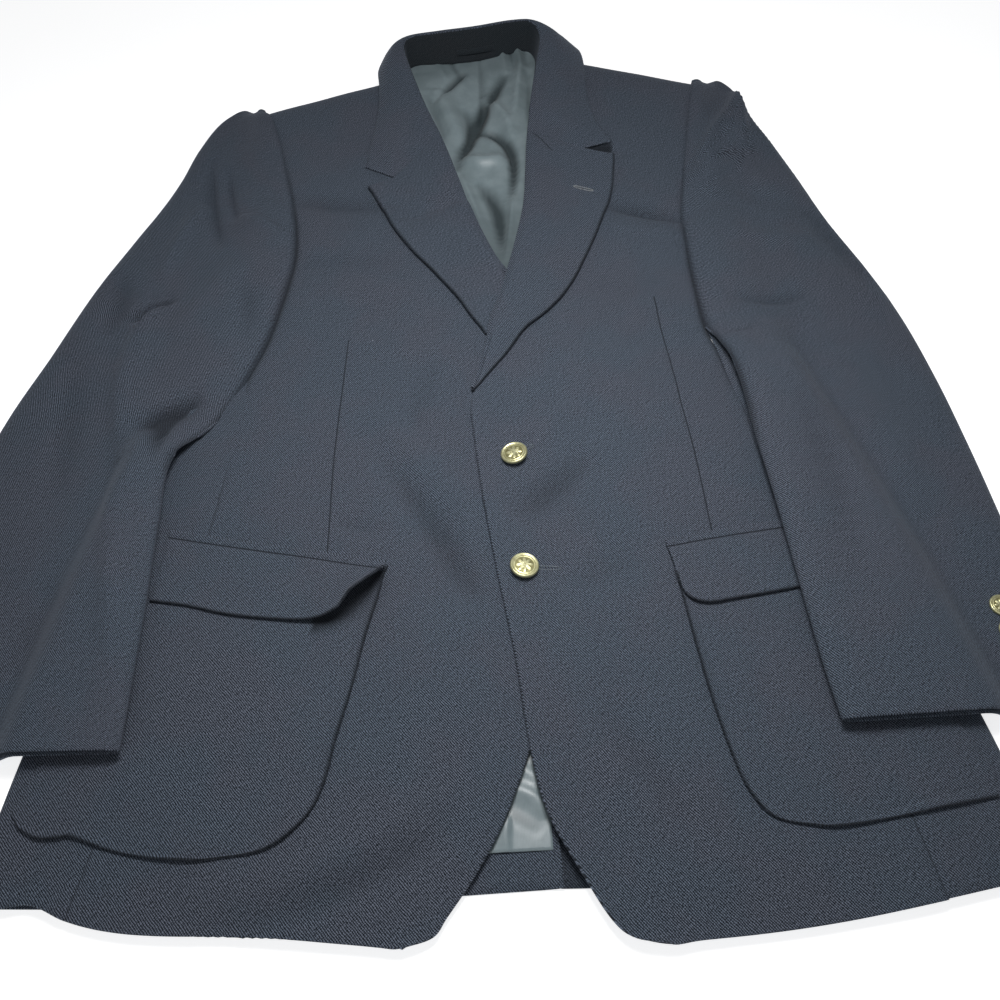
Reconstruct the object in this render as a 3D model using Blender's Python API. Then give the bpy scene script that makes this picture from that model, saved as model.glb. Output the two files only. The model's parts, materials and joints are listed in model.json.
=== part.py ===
"""Two-button blazer laid flat on its back, front side up.

All plan positions below are in the garment's own frame: x = 0 is the centre front through the
buttons, y = 0 is the lowest point of the front hem, y grows towards the collar. Every solid is
then moved so that the middle of the garment's footprint is the world's origin.
Left and right are the sides seen by someone who looks at the garment from its hem.
"""
import bpy
import bmesh
import numpy as np
from math import cos, pi, sin, radians
from mathutils import Vector
from mathutils.bvhtree import BVHTree

# Driving sizes in metres
WOOL = 0.0016
LINING = 0.0010
SEAM = 0.0003
LAYER = WOOL + SEAM
FRONT_BUTTON_DIAMETER = 0.0205
SLEEVE_BUTTON_DIAMETER = 0.0150
FOOTPRINT_CENTRE = (-0.0395, 0.4478)

# Colours: linear base colour, roughness, metallic
WOOL_NAVY = ((0.068, 0.086, 0.115, 1.0), 0.92, 0.0)
LINING_BLUE = ((0.102, 0.150, 0.171, 1.0), 0.45, 0.0)
PALE_GOLD = ((0.770, 0.700, 0.420, 1.0), 0.30, 1.0)

# Height of the front cloth's outer face above the table: y, height
BODY_CROWN = (
    (-0.02, 0.0097),
    (0.10, 0.0104),
    (0.25, 0.0117),
    (0.40, 0.0141),
    (0.52, 0.0178),
    (0.64, 0.0235),
    (0.74, 0.0300),
    (0.80, 0.0330),
    (0.88, 0.0335),
)

# Outer side folds of the body under the sleeves: y, left x, right x
SIDE_FOLD = (
    (0.03, -0.340, 0.298),
    (0.09, -0.333, 0.289),
    (0.12, -0.327, 0.283),
    (0.25, -0.305, 0.257),
    (0.33, -0.286, 0.237),
    (0.42, -0.272, 0.215),
)


def clear_scene():
    for item in list(bpy.data.objects):
        bpy.data.objects.remove(item, do_unlink=True)


def material(name, look):
    colour, roughness, metallic = look
    found = bpy.data.materials.get(name)
    if found:
        return found
    made = bpy.data.materials.new(name)
    made.use_nodes = True
    shader = made.node_tree.nodes["Principled BSDF"]
    shader.inputs["Base Color"].default_value = colour
    shader.inputs["Roughness"].default_value = roughness
    shader.inputs["Metallic"].default_value = metallic
    made.diffuse_color = colour
    return made


def smoothstep(low, high, value):
    share = np.clip((np.asarray(value, float) - low) / (high - low), 0.0, 1.0)
    return share * share * (3.0 - 2.0 * share)


def table_value(table, column, key):
    """Read one column of a table at a key, with straight lines between its rows."""
    data = np.array(table, float)
    return np.interp(key, data[:, 0], data[:, column])


def smooth_rows(table, count):
    """Pass a smooth curve through a table's rows and return evenly numbered rows on it."""
    data = np.array(table, float)
    place = np.linspace(0.0, len(data) - 1.0, count)
    start = np.minimum(place.astype(int), len(data) - 2)
    share = (place - start)[:, None]
    slope = np.gradient(data, axis=0)
    first, last = data[start], data[start + 1]
    rise_first, rise_last = slope[start], slope[start + 1]
    return (
        (2 * share**3 - 3 * share**2 + 1) * first
        + (share**3 - 2 * share**2 + share) * rise_first
        + (3 * share**2 - 2 * share**3) * last
        + (share**3 - share**2) * rise_last
    )


def plan_grid(table, rows, across, bend=None):
    """Lay out plan points between an inner and an outer rail.

    A table row is inner x, inner y, outer x, outer y. With a bend share it is
    inner x, inner y, bend x, bend y, outer x, outer y.
    """
    rails = smooth_rows(table, rows)
    share = np.asarray(across, float)[None, :, None]
    if bend is None:
        inner, outer = rails[:, None, 0:2], rails[:, None, 2:4]
        return inner + (outer - inner) * share
    inner, middle, outer = rails[:, None, 0:2], rails[:, None, 2:4], rails[:, None, 4:6]
    near = inner + (middle - inner) * np.clip(share / bend, 0, 1)
    far = (outer - middle) * np.clip((share - bend) / (1 - bend), 0, 1)
    return near + far


def lift(plan, height):
    """Give plan points their heights."""
    return np.dstack((plan[:, :, 0], plan[:, :, 1], height))


def grid_normals(points):
    along = np.gradient(points, axis=0)
    across = np.gradient(points, axis=1)
    normal = np.cross(along, across)
    length = np.linalg.norm(normal, axis=2, keepdims=True)
    return normal / np.maximum(length, 1e-12)


def facing(outer, inside):
    """Unit normals of a grid, turned to its inside."""
    normal = grid_normals(outer)
    middle = normal[normal.shape[0] // 2, normal.shape[1] // 2]
    return normal if np.dot(middle, inside) > 0 else -normal


def cloth_wall(name, outer, thickness, look, inside=(0.0, 0.0, -1.0)):
    """Make a closed wall from a grid of its outer points, thickened to the inside."""
    return closed_wall(name, outer, outer + facing(outer, inside) * thickness, look)


def closed_wall(name, outer, inner, look):
    """Join two grids of points into one closed body."""
    rows, columns = outer.shape[:2]
    mesh = bmesh.new()
    shift = np.array((FOOTPRINT_CENTRE[0], FOOTPRINT_CENTRE[1], 0.0))
    top = [[mesh.verts.new(outer[i, j] - shift) for j in range(columns)] for i in range(rows)]
    low = [[mesh.verts.new(inner[i, j] - shift) for j in range(columns)] for i in range(rows)]
    for i in range(rows - 1):
        for j in range(columns - 1):
            mesh.faces.new((top[i][j], top[i][j + 1], top[i + 1][j + 1], top[i + 1][j]))
            mesh.faces.new((low[i][j], low[i + 1][j], low[i + 1][j + 1], low[i][j + 1]))
    for i in range(rows - 1):
        mesh.faces.new((top[i][0], top[i + 1][0], low[i + 1][0], low[i][0]))
        mesh.faces.new((top[i + 1][-1], top[i][-1], low[i][-1], low[i + 1][-1]))
    for j in range(columns - 1):
        mesh.faces.new((top[0][j + 1], top[0][j], low[0][j], low[0][j + 1]))
        mesh.faces.new((top[-1][j], top[-1][j + 1], low[-1][j + 1], low[-1][j]))
    return finish(name, mesh, look)


def finish(name, mesh, look):
    bmesh.ops.triangulate(mesh, faces=mesh.faces[:])
    bmesh.ops.recalc_face_normals(mesh, faces=mesh.faces[:])
    data = bpy.data.meshes.new(name)
    mesh.to_mesh(data)
    mesh.free()
    data.shade_smooth()
    item = bpy.data.objects.new(name, data)
    bpy.context.collection.objects.link(item)
    item.data.materials.append(material(name, look))
    return item


def body_height(x, y):
    """Outer face of the front cloth, with its softest and largest waves."""
    crown = table_value(BODY_CROWN, 1, y)
    wave = 0.0007 * np.sin(26.0 * x + 9.0 * y) * np.sin(11.0 * y + 0.6)
    hem_wave = 0.0006 * np.sin(34.0 * x + 0.5) * smoothstep(0.16, 0.0, y)
    chest = 0.0012 * np.exp(-(((y - 0.55) / 0.07) ** 2)) * np.sin(18.0 * np.abs(x) - 0.4)
    return crown + wave + hem_wave + chest


def left_front_height(x, y):
    """The left front dips one layer where the right front laps over it."""
    under = smoothstep(-0.078, -0.050, x) * smoothstep(0.60, 0.50, y)
    return body_height(x, y) - LAYER * under - shoulder_dip(x, y, LEFT_SHOULDER)


def right_front_height(x, y):
    return body_height(x, y) - shoulder_dip(x, y, RIGHT_SHOULDER)


# Shoulder seams: x, y
LEFT_SHOULDER = ((-0.245, 0.772), (-0.095, 0.822))
RIGHT_SHOULDER = ((0.075, 0.838), (0.210, 0.783))


def shoulder_dip(x, y, seam):
    """How far the front turns down to its shoulder seam."""
    line = table_value(seam, 1, x)
    share = np.clip((y - (line - 0.030)) / 0.030, 0.0, 1.0)
    return 0.0130 * (1.0 - np.sqrt(np.maximum(1.0 - share * share, 0.0)))


# Back: inner x and y on the centre seam, bend x and y, outer x and y on the side seam and armhole
BACK_BEND = 0.38
LEFT_BACK = (
    (0.0118, 0.0290, -0.090, 0.0270, -0.252, 0.0300),
    (0.0080, 0.1100, -0.088, 0.1080, -0.244, 0.1120),
    (0.0030, 0.2200, -0.086, 0.2190, -0.236, 0.2200),
    (-0.0020, 0.3300, -0.084, 0.3250, -0.232, 0.3100),
    (-0.0050, 0.4300, -0.084, 0.4200, -0.228, 0.3850),
    (-0.0070, 0.5200, -0.084, 0.5050, -0.203, 0.4560),
    (-0.0090, 0.6100, -0.084, 0.5950, -0.187, 0.5450),
    (-0.0110, 0.7000, -0.085, 0.6850, -0.191, 0.6250),
    (-0.0120, 0.7750, -0.088, 0.7600, -0.208, 0.6950),
    (-0.0120, 0.8080, -0.090, 0.7950, -0.220, 0.7420),
    (-0.0120, 0.8360, -0.092, 0.8240, -0.2355, 0.7765),
)
RIGHT_BACK = (
    (0.0121, 0.0290, 0.080, 0.0270, 0.222, 0.0300),
    (0.0083, 0.1100, 0.078, 0.1080, 0.212, 0.1120),
    (0.0033, 0.2200, 0.074, 0.2190, 0.200, 0.2200),
    (-0.0017, 0.3300, 0.068, 0.3280, 0.190, 0.3200),
    (-0.0047, 0.4300, 0.062, 0.4250, 0.172, 0.4100),
    (-0.0067, 0.5200, 0.060, 0.5050, 0.164, 0.4700),
    (-0.0087, 0.6100, 0.058, 0.5950, 0.165, 0.5550),
    (-0.0107, 0.7000, 0.060, 0.6850, 0.177, 0.6450),
    (-0.0117, 0.7750, 0.064, 0.7650, 0.190, 0.7100),
    (-0.0117, 0.8080, 0.068, 0.8050, 0.1975, 0.7480),
    (-0.0117, 0.8400, 0.072, 0.8380, 0.2080, 0.7860),
)
BACK_RISE_AT_NECK = 0.0240
BACK_RISE_AT_TIP = 0.0150


def back_underside(grid):
    """The back lies on the table and turns up to the shoulders over its last rows."""
    rows, columns = grid.shape[:2]
    along = np.linspace(0.0, 1.0, rows)[:, None]
    share = np.clip((along - 0.86) / 0.14, 0.0, 1.0)
    reach = np.linspace(0.0, 1.0, columns)[None, :]
    rise = BACK_RISE_AT_NECK + (BACK_RISE_AT_TIP - BACK_RISE_AT_NECK) * smoothstep(0.2, 0.9, reach)
    return rise * (1.0 - np.sqrt(1.0 - share * share * 0.98))


def build_backs():
    across = np.linspace(0.0, 1.0, 7)
    for name, table in (("back_left", LEFT_BACK), ("back_right", RIGHT_BACK)):
        plan = plan_grid(table, 21, across, BACK_BEND)
        cloth_wall(name, lift(plan, back_underside(plan)), WOOL, WOOL_NAVY, (0, 0, 1))


# Side body: floor seam x and y, fold x and y, top seam x and y
LEFT_SIDE = (
    (-0.2540, 0.0300, -0.340, 0.0340, -0.2785, 0.0250),
    (-0.2465, 0.1120, -0.329, 0.1150, -0.2605, 0.1100),
    (-0.2385, 0.2200, -0.310, 0.2200, -0.2385, 0.2200),
    (-0.2350, 0.2800, -0.293, 0.2800, -0.2250, 0.3150),
    (-0.2350, 0.3350, -0.277, 0.3060, -0.2200, 0.4030),
)
RIGHT_SIDE = (
    (0.2242, 0.0290, 0.298, 0.0225, 0.2310, 0.0125),
    (0.2145, 0.1120, 0.285, 0.1150, 0.2155, 0.1100),
    (0.2025, 0.2200, 0.263, 0.2200, 0.1980, 0.2200),
    (0.1950, 0.3050, 0.243, 0.3000, 0.1842, 0.3200),
    (0.1910, 0.3600, 0.226, 0.3500, 0.1765, 0.3980),
)


def build_side_bodies():
    """The narrow panel under the arm lies on the table, folds over and meets the front."""
    for name, table, sign in (("side_body_left", LEFT_SIDE, -1), ("side_body_right", RIGHT_SIDE, 1)):
        rails = smooth_rows(table, 13)
        grid = []
        for floor_x, floor_y, fold_x, fold_y, top_x, top_y in rails:
            height = float(body_height(np.array(fold_x), np.array(fold_y)))
            radius = height / 2.0
            centre_x = fold_x - sign * radius
            row = []
            for share in (0.0, 0.5, 1.0):
                x = floor_x + (centre_x - floor_x) * share
                y = floor_y + (fold_y - floor_y) * share
                row.append((x, y, 0.0))
            for step in (1, 2, 3, 4):
                turn = pi * step / 5.0
                x = centre_x + sign * radius * sin(turn)
                row.append((x, fold_y, radius - radius * cos(turn)))
            for share in (0.0, 0.5, 1.0):
                x = centre_x + (top_x - centre_x) * share
                y = fold_y + (top_y - fold_y) * share
                row.append((x, y, float(body_height(np.array(x), np.array(y)))))
            grid.append(row)
        cloth_wall(name, np.array(grid), WOOL, WOOL_NAVY, (-sign, 0, 0))


# Fronts: inner x and y on the roll line and front edge, outer x and y on armhole and side seam
LEFT_FRONT = (
    (-0.0980, 0.8200, -0.2365, 0.7740),
    (-0.0880, 0.7900, -0.2210, 0.7420),
    (-0.0760, 0.7550, -0.2065, 0.6830),
    (-0.0590, 0.7150, -0.1945, 0.6270),
    (-0.0425, 0.6530, -0.1880, 0.5740),
    (-0.0235, 0.5850, -0.1915, 0.5300),
    (-0.0110, 0.5450, -0.1975, 0.4920),
    (0.0020, 0.5000, -0.2055, 0.4560),
    (0.0100, 0.4500, -0.2180, 0.4180),
    (0.0180, 0.3900, -0.2205, 0.3700),
    (0.0200, 0.3300, -0.2235, 0.3200),
    (0.0200, 0.2600, -0.2300, 0.2650),
    (0.0180, 0.2000, -0.2370, 0.2200),
    (0.0100, 0.1500, -0.2470, 0.1650),
    (-0.0020, 0.1100, -0.2590, 0.1100),
    (-0.0200, 0.0680, -0.2660, 0.0800),
    (-0.0370, 0.0400, -0.2695, 0.0600),
    (-0.0550, 0.0165, -0.2730, 0.0440),
    (-0.0660, 0.0050, -0.2755, 0.0330),
    (-0.0850, 0.0000, -0.2770, 0.0245),
)
RIGHT_FRONT = (
    (0.0760, 0.8360, 0.2080, 0.7815),
    (0.0620, 0.7900, 0.1975, 0.7380),
    (0.0450, 0.7450, 0.1850, 0.6750),
    (0.0385, 0.7120, 0.1755, 0.6300),
    (0.0350, 0.6550, 0.1680, 0.5850),
    (0.0290, 0.6150, 0.1665, 0.5500),
    (0.0200, 0.5700, 0.1655, 0.5200),
    (0.0100, 0.5250, 0.1660, 0.4850),
    (-0.0060, 0.4750, 0.1670, 0.4530),
    (-0.0200, 0.4250, 0.1720, 0.4220),
    (-0.0310, 0.3880, 0.1745, 0.3900),
    (-0.0300, 0.3550, 0.1780, 0.3550),
    (-0.0240, 0.2920, 0.1845, 0.3000),
    (-0.0160, 0.2300, 0.1920, 0.2400),
    (-0.0070, 0.1700, 0.2010, 0.1850),
    (-0.0010, 0.1110, 0.2125, 0.1180),
    (0.0070, 0.0710, 0.2180, 0.0880),
    (0.0260, 0.0330, 0.2225, 0.0580),
    (0.0395, 0.0100, 0.2260, 0.0370),
    (0.0510, 0.0005, 0.2280, 0.0230),
    (0.0690, -0.0030, 0.2295, 0.0120),
)


def build_fronts():
    across = (0.0, 0.05, 0.17, 0.29, 0.41, 0.53, 0.65, 0.77, 0.89, 1.0)
    for name, table, height, bow in (
        ("front_left", LEFT_FRONT, left_front_height, 0.0025),
        ("front_right", RIGHT_FRONT, right_front_height, 0.0030),
    ):
        rows = len(table) + 9
        plan = plan_grid(table, rows, across)
        near_hem = smoothstep(0.80, 1.0, np.linspace(0.0, 1.0, rows))
        plan[:, :, 1] -= bow * near_hem[:, None] * np.sin(pi * np.array(across))[None, :]
        rise = height(plan[:, :, 0], plan[:, :, 1])
        cloth_wall(name, lift(plan, rise), WOOL, WOOL_NAVY)


# Lapels: roll x and y, bend x and y at the notch's corner, edge x and y, lip depth
LAPEL_BEND = 0.62
LEFT_LAPEL = (
    (-0.0535, 0.7160, -0.0990, 0.6570, -0.1265, 0.6690, 0.0050),
    (-0.0455, 0.6870, -0.0920, 0.6440, -0.1225, 0.6430, 0.0050),
    (-0.0370, 0.6530, -0.0820, 0.6230, -0.1110, 0.6150, 0.0050),
    (-0.0280, 0.6200, -0.0700, 0.5960, -0.0970, 0.5860, 0.0048),
    (-0.0180, 0.5850, -0.0550, 0.5660, -0.0800, 0.5570, 0.0045),
    (-0.0080, 0.5520, -0.0390, 0.5370, -0.0600, 0.5290, 0.0015),
    (-0.0050, 0.5230, -0.0270, 0.5100, -0.0410, 0.5010, -0.0008),
    (-0.0120, 0.4900, -0.0225, 0.4830, -0.0290, 0.4790, -0.0008),
    (-0.0210, 0.4600, -0.0235, 0.4580, -0.0250, 0.4570, -0.0008),
)
RIGHT_LAPEL = (
    (0.0320, 0.7100, 0.0860, 0.6815, 0.1100, 0.6710, 0.0050),
    (0.0300, 0.6900, 0.0820, 0.6600, 0.1115, 0.6480, 0.0050),
    (0.0270, 0.6550, 0.0760, 0.6310, 0.1050, 0.6170, 0.0050),
    (0.0230, 0.6150, 0.0680, 0.5990, 0.0950, 0.5890, 0.0045),
    (0.0150, 0.5700, 0.0560, 0.5600, 0.0810, 0.5540, 0.0040),
    (0.0080, 0.5350, 0.0410, 0.5210, 0.0610, 0.5120, 0.0030),
    (0.0005, 0.5050, 0.0240, 0.4890, 0.0390, 0.4790, 0.0015),
    (-0.0095, 0.4780, 0.0065, 0.4670, 0.0165, 0.4600, 0.0012),
    (-0.0180, 0.4500, -0.0070, 0.4400, -0.0005, 0.4350, 0.0012),
    (-0.0250, 0.4250, -0.0200, 0.4180, -0.0165, 0.4140, 0.0012),
    (-0.0300, 0.4060, -0.0285, 0.4030, -0.0275, 0.4010, 0.0012),
)


def build_lapels():
    """A lapel rolls up over the front's edge and lies back on the front."""
    across = np.array((0.0, 0.12, 0.28, 0.45, LAPEL_BEND, 0.8, 1.0))
    for name, table, height, side in (
        ("lapel_left", LEFT_LAPEL, left_front_height, -1),
        ("lapel_right", RIGHT_LAPEL, right_front_height, 1),
    ):
        rows = 2 * len(table) + 3
        plan = plan_grid(np.array(table)[:, :6], rows, across, LAPEL_BEND)
        lip = smooth_rows(np.array(table)[:, 6:7], rows)[:, 0]
        width = np.linalg.norm(plan[:, -1] - plan[:, 0], axis=1)
        full = smoothstep(0.0, 0.035, width)
        front = height(plan[:, :, 0], plan[:, :, 1])
        puff = 0.0022 * np.exp(-(((across - 0.12) / 0.12) ** 2))
        edge = 0.0016 * smoothstep(0.7, 1.0, across)
        rise = front + LAYER + 0.0002 + (puff + edge)[None, :] * full[:, None]
        sheet = lift(plan, rise)
        roll = []
        for i in range(rows):
            start = sheet[i, 0].copy()
            base = front[i, 0]
            bead = np.clip(width[i] * 0.3, 0.0006, 0.0035)
            roll.append((
                (start[0] + side * bead * 0.25, start[1], base - lip[i]),
                (start[0] - side * 0.0003, start[1], base - lip[i] * 0.3),
                (start[0] + side * bead * 0.15, start[1], base + LAYER * 0.75),
            ))
        sheet[:, 0, 0] += side * np.clip(width * 0.3, 0.0006, 0.0030)
        grid = np.concatenate((np.array(roll), sheet), axis=1)
        cloth_wall(name, grid, WOOL, WOOL_NAVY)


# Collar: crease x, y, z, bend x and y, fall edge x, y, z, neck seam x, y, z
COLLAR = (
    (-0.0540, 0.7173, 0.0330, -0.0993, 0.6580, -0.1270, 0.6705, 0.0295, -0.0560, 0.7260, 0.0260),
    (-0.0680, 0.7520, 0.0400, -0.1020, 0.7140, -0.1225, 0.7000, 0.0320, -0.0700, 0.7560, 0.0290),
    (-0.0770, 0.7820, 0.0450, -0.1020, 0.7560, -0.1170, 0.7450, 0.0340, -0.0800, 0.7840, 0.0290),
    (-0.0840, 0.8080, 0.0490, -0.1040, 0.7940, -0.1160, 0.7860, 0.0365, -0.0870, 0.8080, 0.0290),
    (-0.0895, 0.8360, 0.0525, -0.1080, 0.8300, -0.1190, 0.8290, 0.0320, -0.0900, 0.8300, 0.0290),
    (-0.0820, 0.8500, 0.0545, -0.1000, 0.8580, -0.1120, 0.8690, 0.0170, -0.0800, 0.8400, 0.0290),
    (-0.0520, 0.8540, 0.0555, -0.0610, 0.8740, -0.0680, 0.8900, 0.0075, -0.0500, 0.8410, 0.0290),
    (-0.0150, 0.8580, 0.0560, -0.0150, 0.8800, -0.0150, 0.8960, 0.0050, -0.0150, 0.8440, 0.0290),
    (0.0230, 0.8660, 0.0560, 0.0320, 0.8840, 0.0390, 0.8980, 0.0065, 0.0200, 0.8520, 0.0290),
    (0.0450, 0.8650, 0.0550, 0.0650, 0.8720, 0.0820, 0.8800, 0.0160, 0.0400, 0.8560, 0.0290),
    (0.0530, 0.8420, 0.0525, 0.0770, 0.8410, 0.0950, 0.8420, 0.0330, 0.0500, 0.8400, 0.0290),
    (0.0480, 0.8060, 0.0485, 0.0770, 0.7990, 0.0970, 0.7960, 0.0370, 0.0480, 0.8080, 0.0290),
    (0.0410, 0.7660, 0.0435, 0.0740, 0.7600, 0.0960, 0.7580, 0.0340, 0.0430, 0.7720, 0.0290),
    (0.0360, 0.7350, 0.0390, 0.0740, 0.7250, 0.1000, 0.7240, 0.0320, 0.0380, 0.7440, 0.0280),
    (0.0323, 0.7113, 0.0330, 0.0863, 0.6830, 0.1135, 0.6925, 0.0300, 0.0340, 0.7200, 0.0260),
)


def build_collar():
    """The fall turns over the crease and lies outside, the stand rises inside it."""
    rows = 2 * len(COLLAR) - 1
    rails = smooth_rows(COLLAR, rows)
    crease, bend = rails[:, 0:3], rails[:, 3:5]
    edge, seam = rails[:, 5:8], rails[:, 8:11]
    across = (0.0, 0.1, 0.3, LAPEL_BEND, 0.8, 1.0)
    fall = np.zeros((rows, len(across), 3))
    for j, share in enumerate(across):
        near = crease[:, 0:2] + (bend - crease[:, 0:2]) * min(share / LAPEL_BEND, 1.0)
        far = (edge[:, 0:2] - bend) * max((share - LAPEL_BEND) / (1 - LAPEL_BEND), 0.0)
        fall[:, j, 0:2] = near + far
        drop = crease[:, 2] - edge[:, 2]
        bulge = np.clip(drop * 0.30, 0.0, 0.0080)
        fall[:, j, 2] = crease[:, 2] - drop * share**1.15 + bulge * sin(pi * share) * 0.9
    cloth_wall("collar_fall", fall, WOOL, WOOL_NAVY)
    stand_top = crease - np.array((0.0, 0.0, WOOL + 0.0016))
    stand = np.zeros((rows, 3, 3))
    for j, share in enumerate((0.0, 0.5, 1.0)):
        stand[:, j] = seam + (stand_top - seam) * share
    neck_centre = np.array((-0.015, 0.790))
    push = neck_centre - stand[:, :, 0:2]
    stand[:, :, 0:2] += 0.0032 * push / np.linalg.norm(push, axis=2, keepdims=True)
    joined = slice(2, rows - 2)
    cloth_wall("collar_stand", stand[joined], WOOL, WOOL_NAVY, (0.0, 1.0, 0.0))


# Neck lining: left x, right x, y, middle height
NECK_LINING = (
    (-0.0450, 0.0250, 0.4950, 0.0034),
    (-0.0620, 0.0400, 0.5500, 0.0045),
    (-0.0720, 0.0480, 0.6000, 0.0060),
    (-0.0830, 0.0540, 0.6600, 0.0080),
    (-0.0900, 0.0560, 0.7200, 0.0110),
    (-0.0920, 0.0570, 0.7700, 0.0160),
    (-0.0900, 0.0560, 0.8100, 0.0225),
    (-0.0860, 0.0530, 0.8340, 0.0275),
)


def lining_folds(x, y):
    """Centre pleat and slanting drag folds of the satin, as heights."""
    pleat_x = -0.010 - 0.016 * np.sin(7.0 * (y - 0.62))
    pleat = 0.0016 * smoothstep(-0.004, 0.004, x - pleat_x) * smoothstep(0.60, 0.70, y)
    slant = 0.0
    for start_x, start_y, lean, height in (
        (0.020, 0.800, 1.1, 0.0022),
        (0.005, 0.760, 0.9, 0.0026),
        (0.015, 0.715, 1.2, 0.0020),
        (-0.045, 0.770, -0.8, 0.0016),
        (-0.020, 0.650, 0.7, 0.0014),
    ):
        along = (x - start_x) + (y - start_y) * 0.5
        off = (y - start_y) - (x - start_x) * lean
        slant = slant + height * np.exp(-((off / 0.010) ** 2)) * np.exp(-((along / 0.035) ** 2))
    return pleat + slant


def build_neck_lining():
    rails = smooth_rows(NECK_LINING, 22)
    across = np.linspace(0.0, 1.0, 13)
    left, right, y_rail, middle = rails.T
    x = left[:, None] + (right - left)[:, None] * across[None, :]
    y = y_rail[:, None] + 0.0 * x
    y = y + smoothstep(0.70, 0.834, y) * (0.010 + 0.10 * (x + 0.02))
    edge = body_height(x, y) - 0.0075
    bowl = np.abs(2.0 * across - 1.0) ** 1.7
    height = middle[:, None] + np.maximum(edge - middle[:, None], 0.0) * bowl[None, :]
    calm = 1.0 - bowl[None, :] ** 2
    height = height + lining_folds(x, y) * calm * smoothstep(0.838, 0.80, y)
    cloth_wall("neck_lining", np.dstack((x, y, height)), LINING, LINING_BLUE)


def build_hem_lining():
    """The lining's lower edge above the back hem, with its ease pleat."""
    x_steps = np.linspace(-0.075, 0.0085, 9)
    y_steps = np.linspace(0.0500, 0.1300, 5)
    y, x = np.meshgrid(y_steps, x_steps, indexing="ij")
    height = WOOL + SEAM + LINING + 0.0 * x
    height = height + 0.0007 * smoothstep(-0.022, -0.014, x) * smoothstep(0.11, 0.06, y)
    cloth_wall("hem_lining", np.dstack((x, y, height)), LINING, LINING_BLUE)


# Sleeves: inner x and y, outer x and y, seat under the inner edge, loft, armhole share
LEFT_SLEEVE = (
    (-0.2390, 0.7780, -0.2560, 0.7965, 0.0000, 0.0215, 1.0),
    (-0.2230, 0.7420, -0.2810, 0.7705, 0.0000, 0.0220, 1.0),
    (-0.2085, 0.6830, -0.2970, 0.7300, 0.0000, 0.0205, 1.0),
    (-0.1965, 0.6270, -0.3080, 0.6830, 0.0000, 0.0200, 1.0),
    (-0.1900, 0.5740, -0.3220, 0.6400, 0.0000, 0.0190, 1.0),
    (-0.1935, 0.5300, -0.3400, 0.5970, 0.0000, 0.0180, 1.0),
    (-0.2075, 0.4560, -0.3640, 0.5380, 0.0000, 0.0170, 1.0),
    (-0.2345, 0.3860, -0.3880, 0.4650, 0.0010, 0.0160, 0.9),
    (-0.2590, 0.3390, -0.4120, 0.3950, 0.0190, 0.0150, 0.0),
    (-0.2600, 0.2830, -0.4240, 0.3300, 0.0190, 0.0140, 0.0),
    (-0.2580, 0.2200, -0.4270, 0.2550, 0.0182, 0.0130, 0.0),
    (-0.2570, 0.1500, -0.4180, 0.1750, 0.0175, 0.0120, 0.0),
    (-0.2570, 0.1170, -0.4080, 0.1220, 0.0170, 0.0110, 0.0),
)
RIGHT_SLEEVE = (
    (0.2095, 0.7840, 0.2330, 0.8010, 0.0000, 0.0215, 1.0),
    (0.1985, 0.7380, 0.2465, 0.7765, 0.0000, 0.0220, 1.0),
    (0.1855, 0.6740, 0.2530, 0.7280, 0.0000, 0.0205, 1.0),
    (0.1760, 0.6290, 0.2660, 0.6820, 0.0000, 0.0200, 1.0),
    (0.1685, 0.5850, 0.2790, 0.6430, 0.0000, 0.0190, 1.0),
    (0.1665, 0.5220, 0.3000, 0.5800, 0.0000, 0.0180, 1.0),
    (0.1680, 0.4640, 0.3190, 0.5170, 0.0000, 0.0170, 1.0),
    (0.1735, 0.4300, 0.3330, 0.4550, 0.0010, 0.0160, 0.9),
    (0.1800, 0.3900, 0.3410, 0.3900, 0.0195, 0.0150, 0.0),
    (0.1810, 0.3270, 0.3450, 0.3250, 0.0190, 0.0145, 0.0),
    (0.1840, 0.2640, 0.3470, 0.2620, 0.0185, 0.0140, 0.0),
    (0.1860, 0.2030, 0.3480, 0.2000, 0.0178, 0.0130, 0.0),
    (0.1880, 0.1500, 0.3460, 0.1500, 0.0174, 0.0120, 0.0),
    (0.1910, 0.1130, 0.3420, 0.1150, 0.0170, 0.0110, 0.0),
)
SLEEVE_ACROSS = (0.0, 0.015, 0.05, 0.12, 0.28, 0.44, 0.6, 0.76, 0.88, 0.95, 0.985, 1.0)


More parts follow.
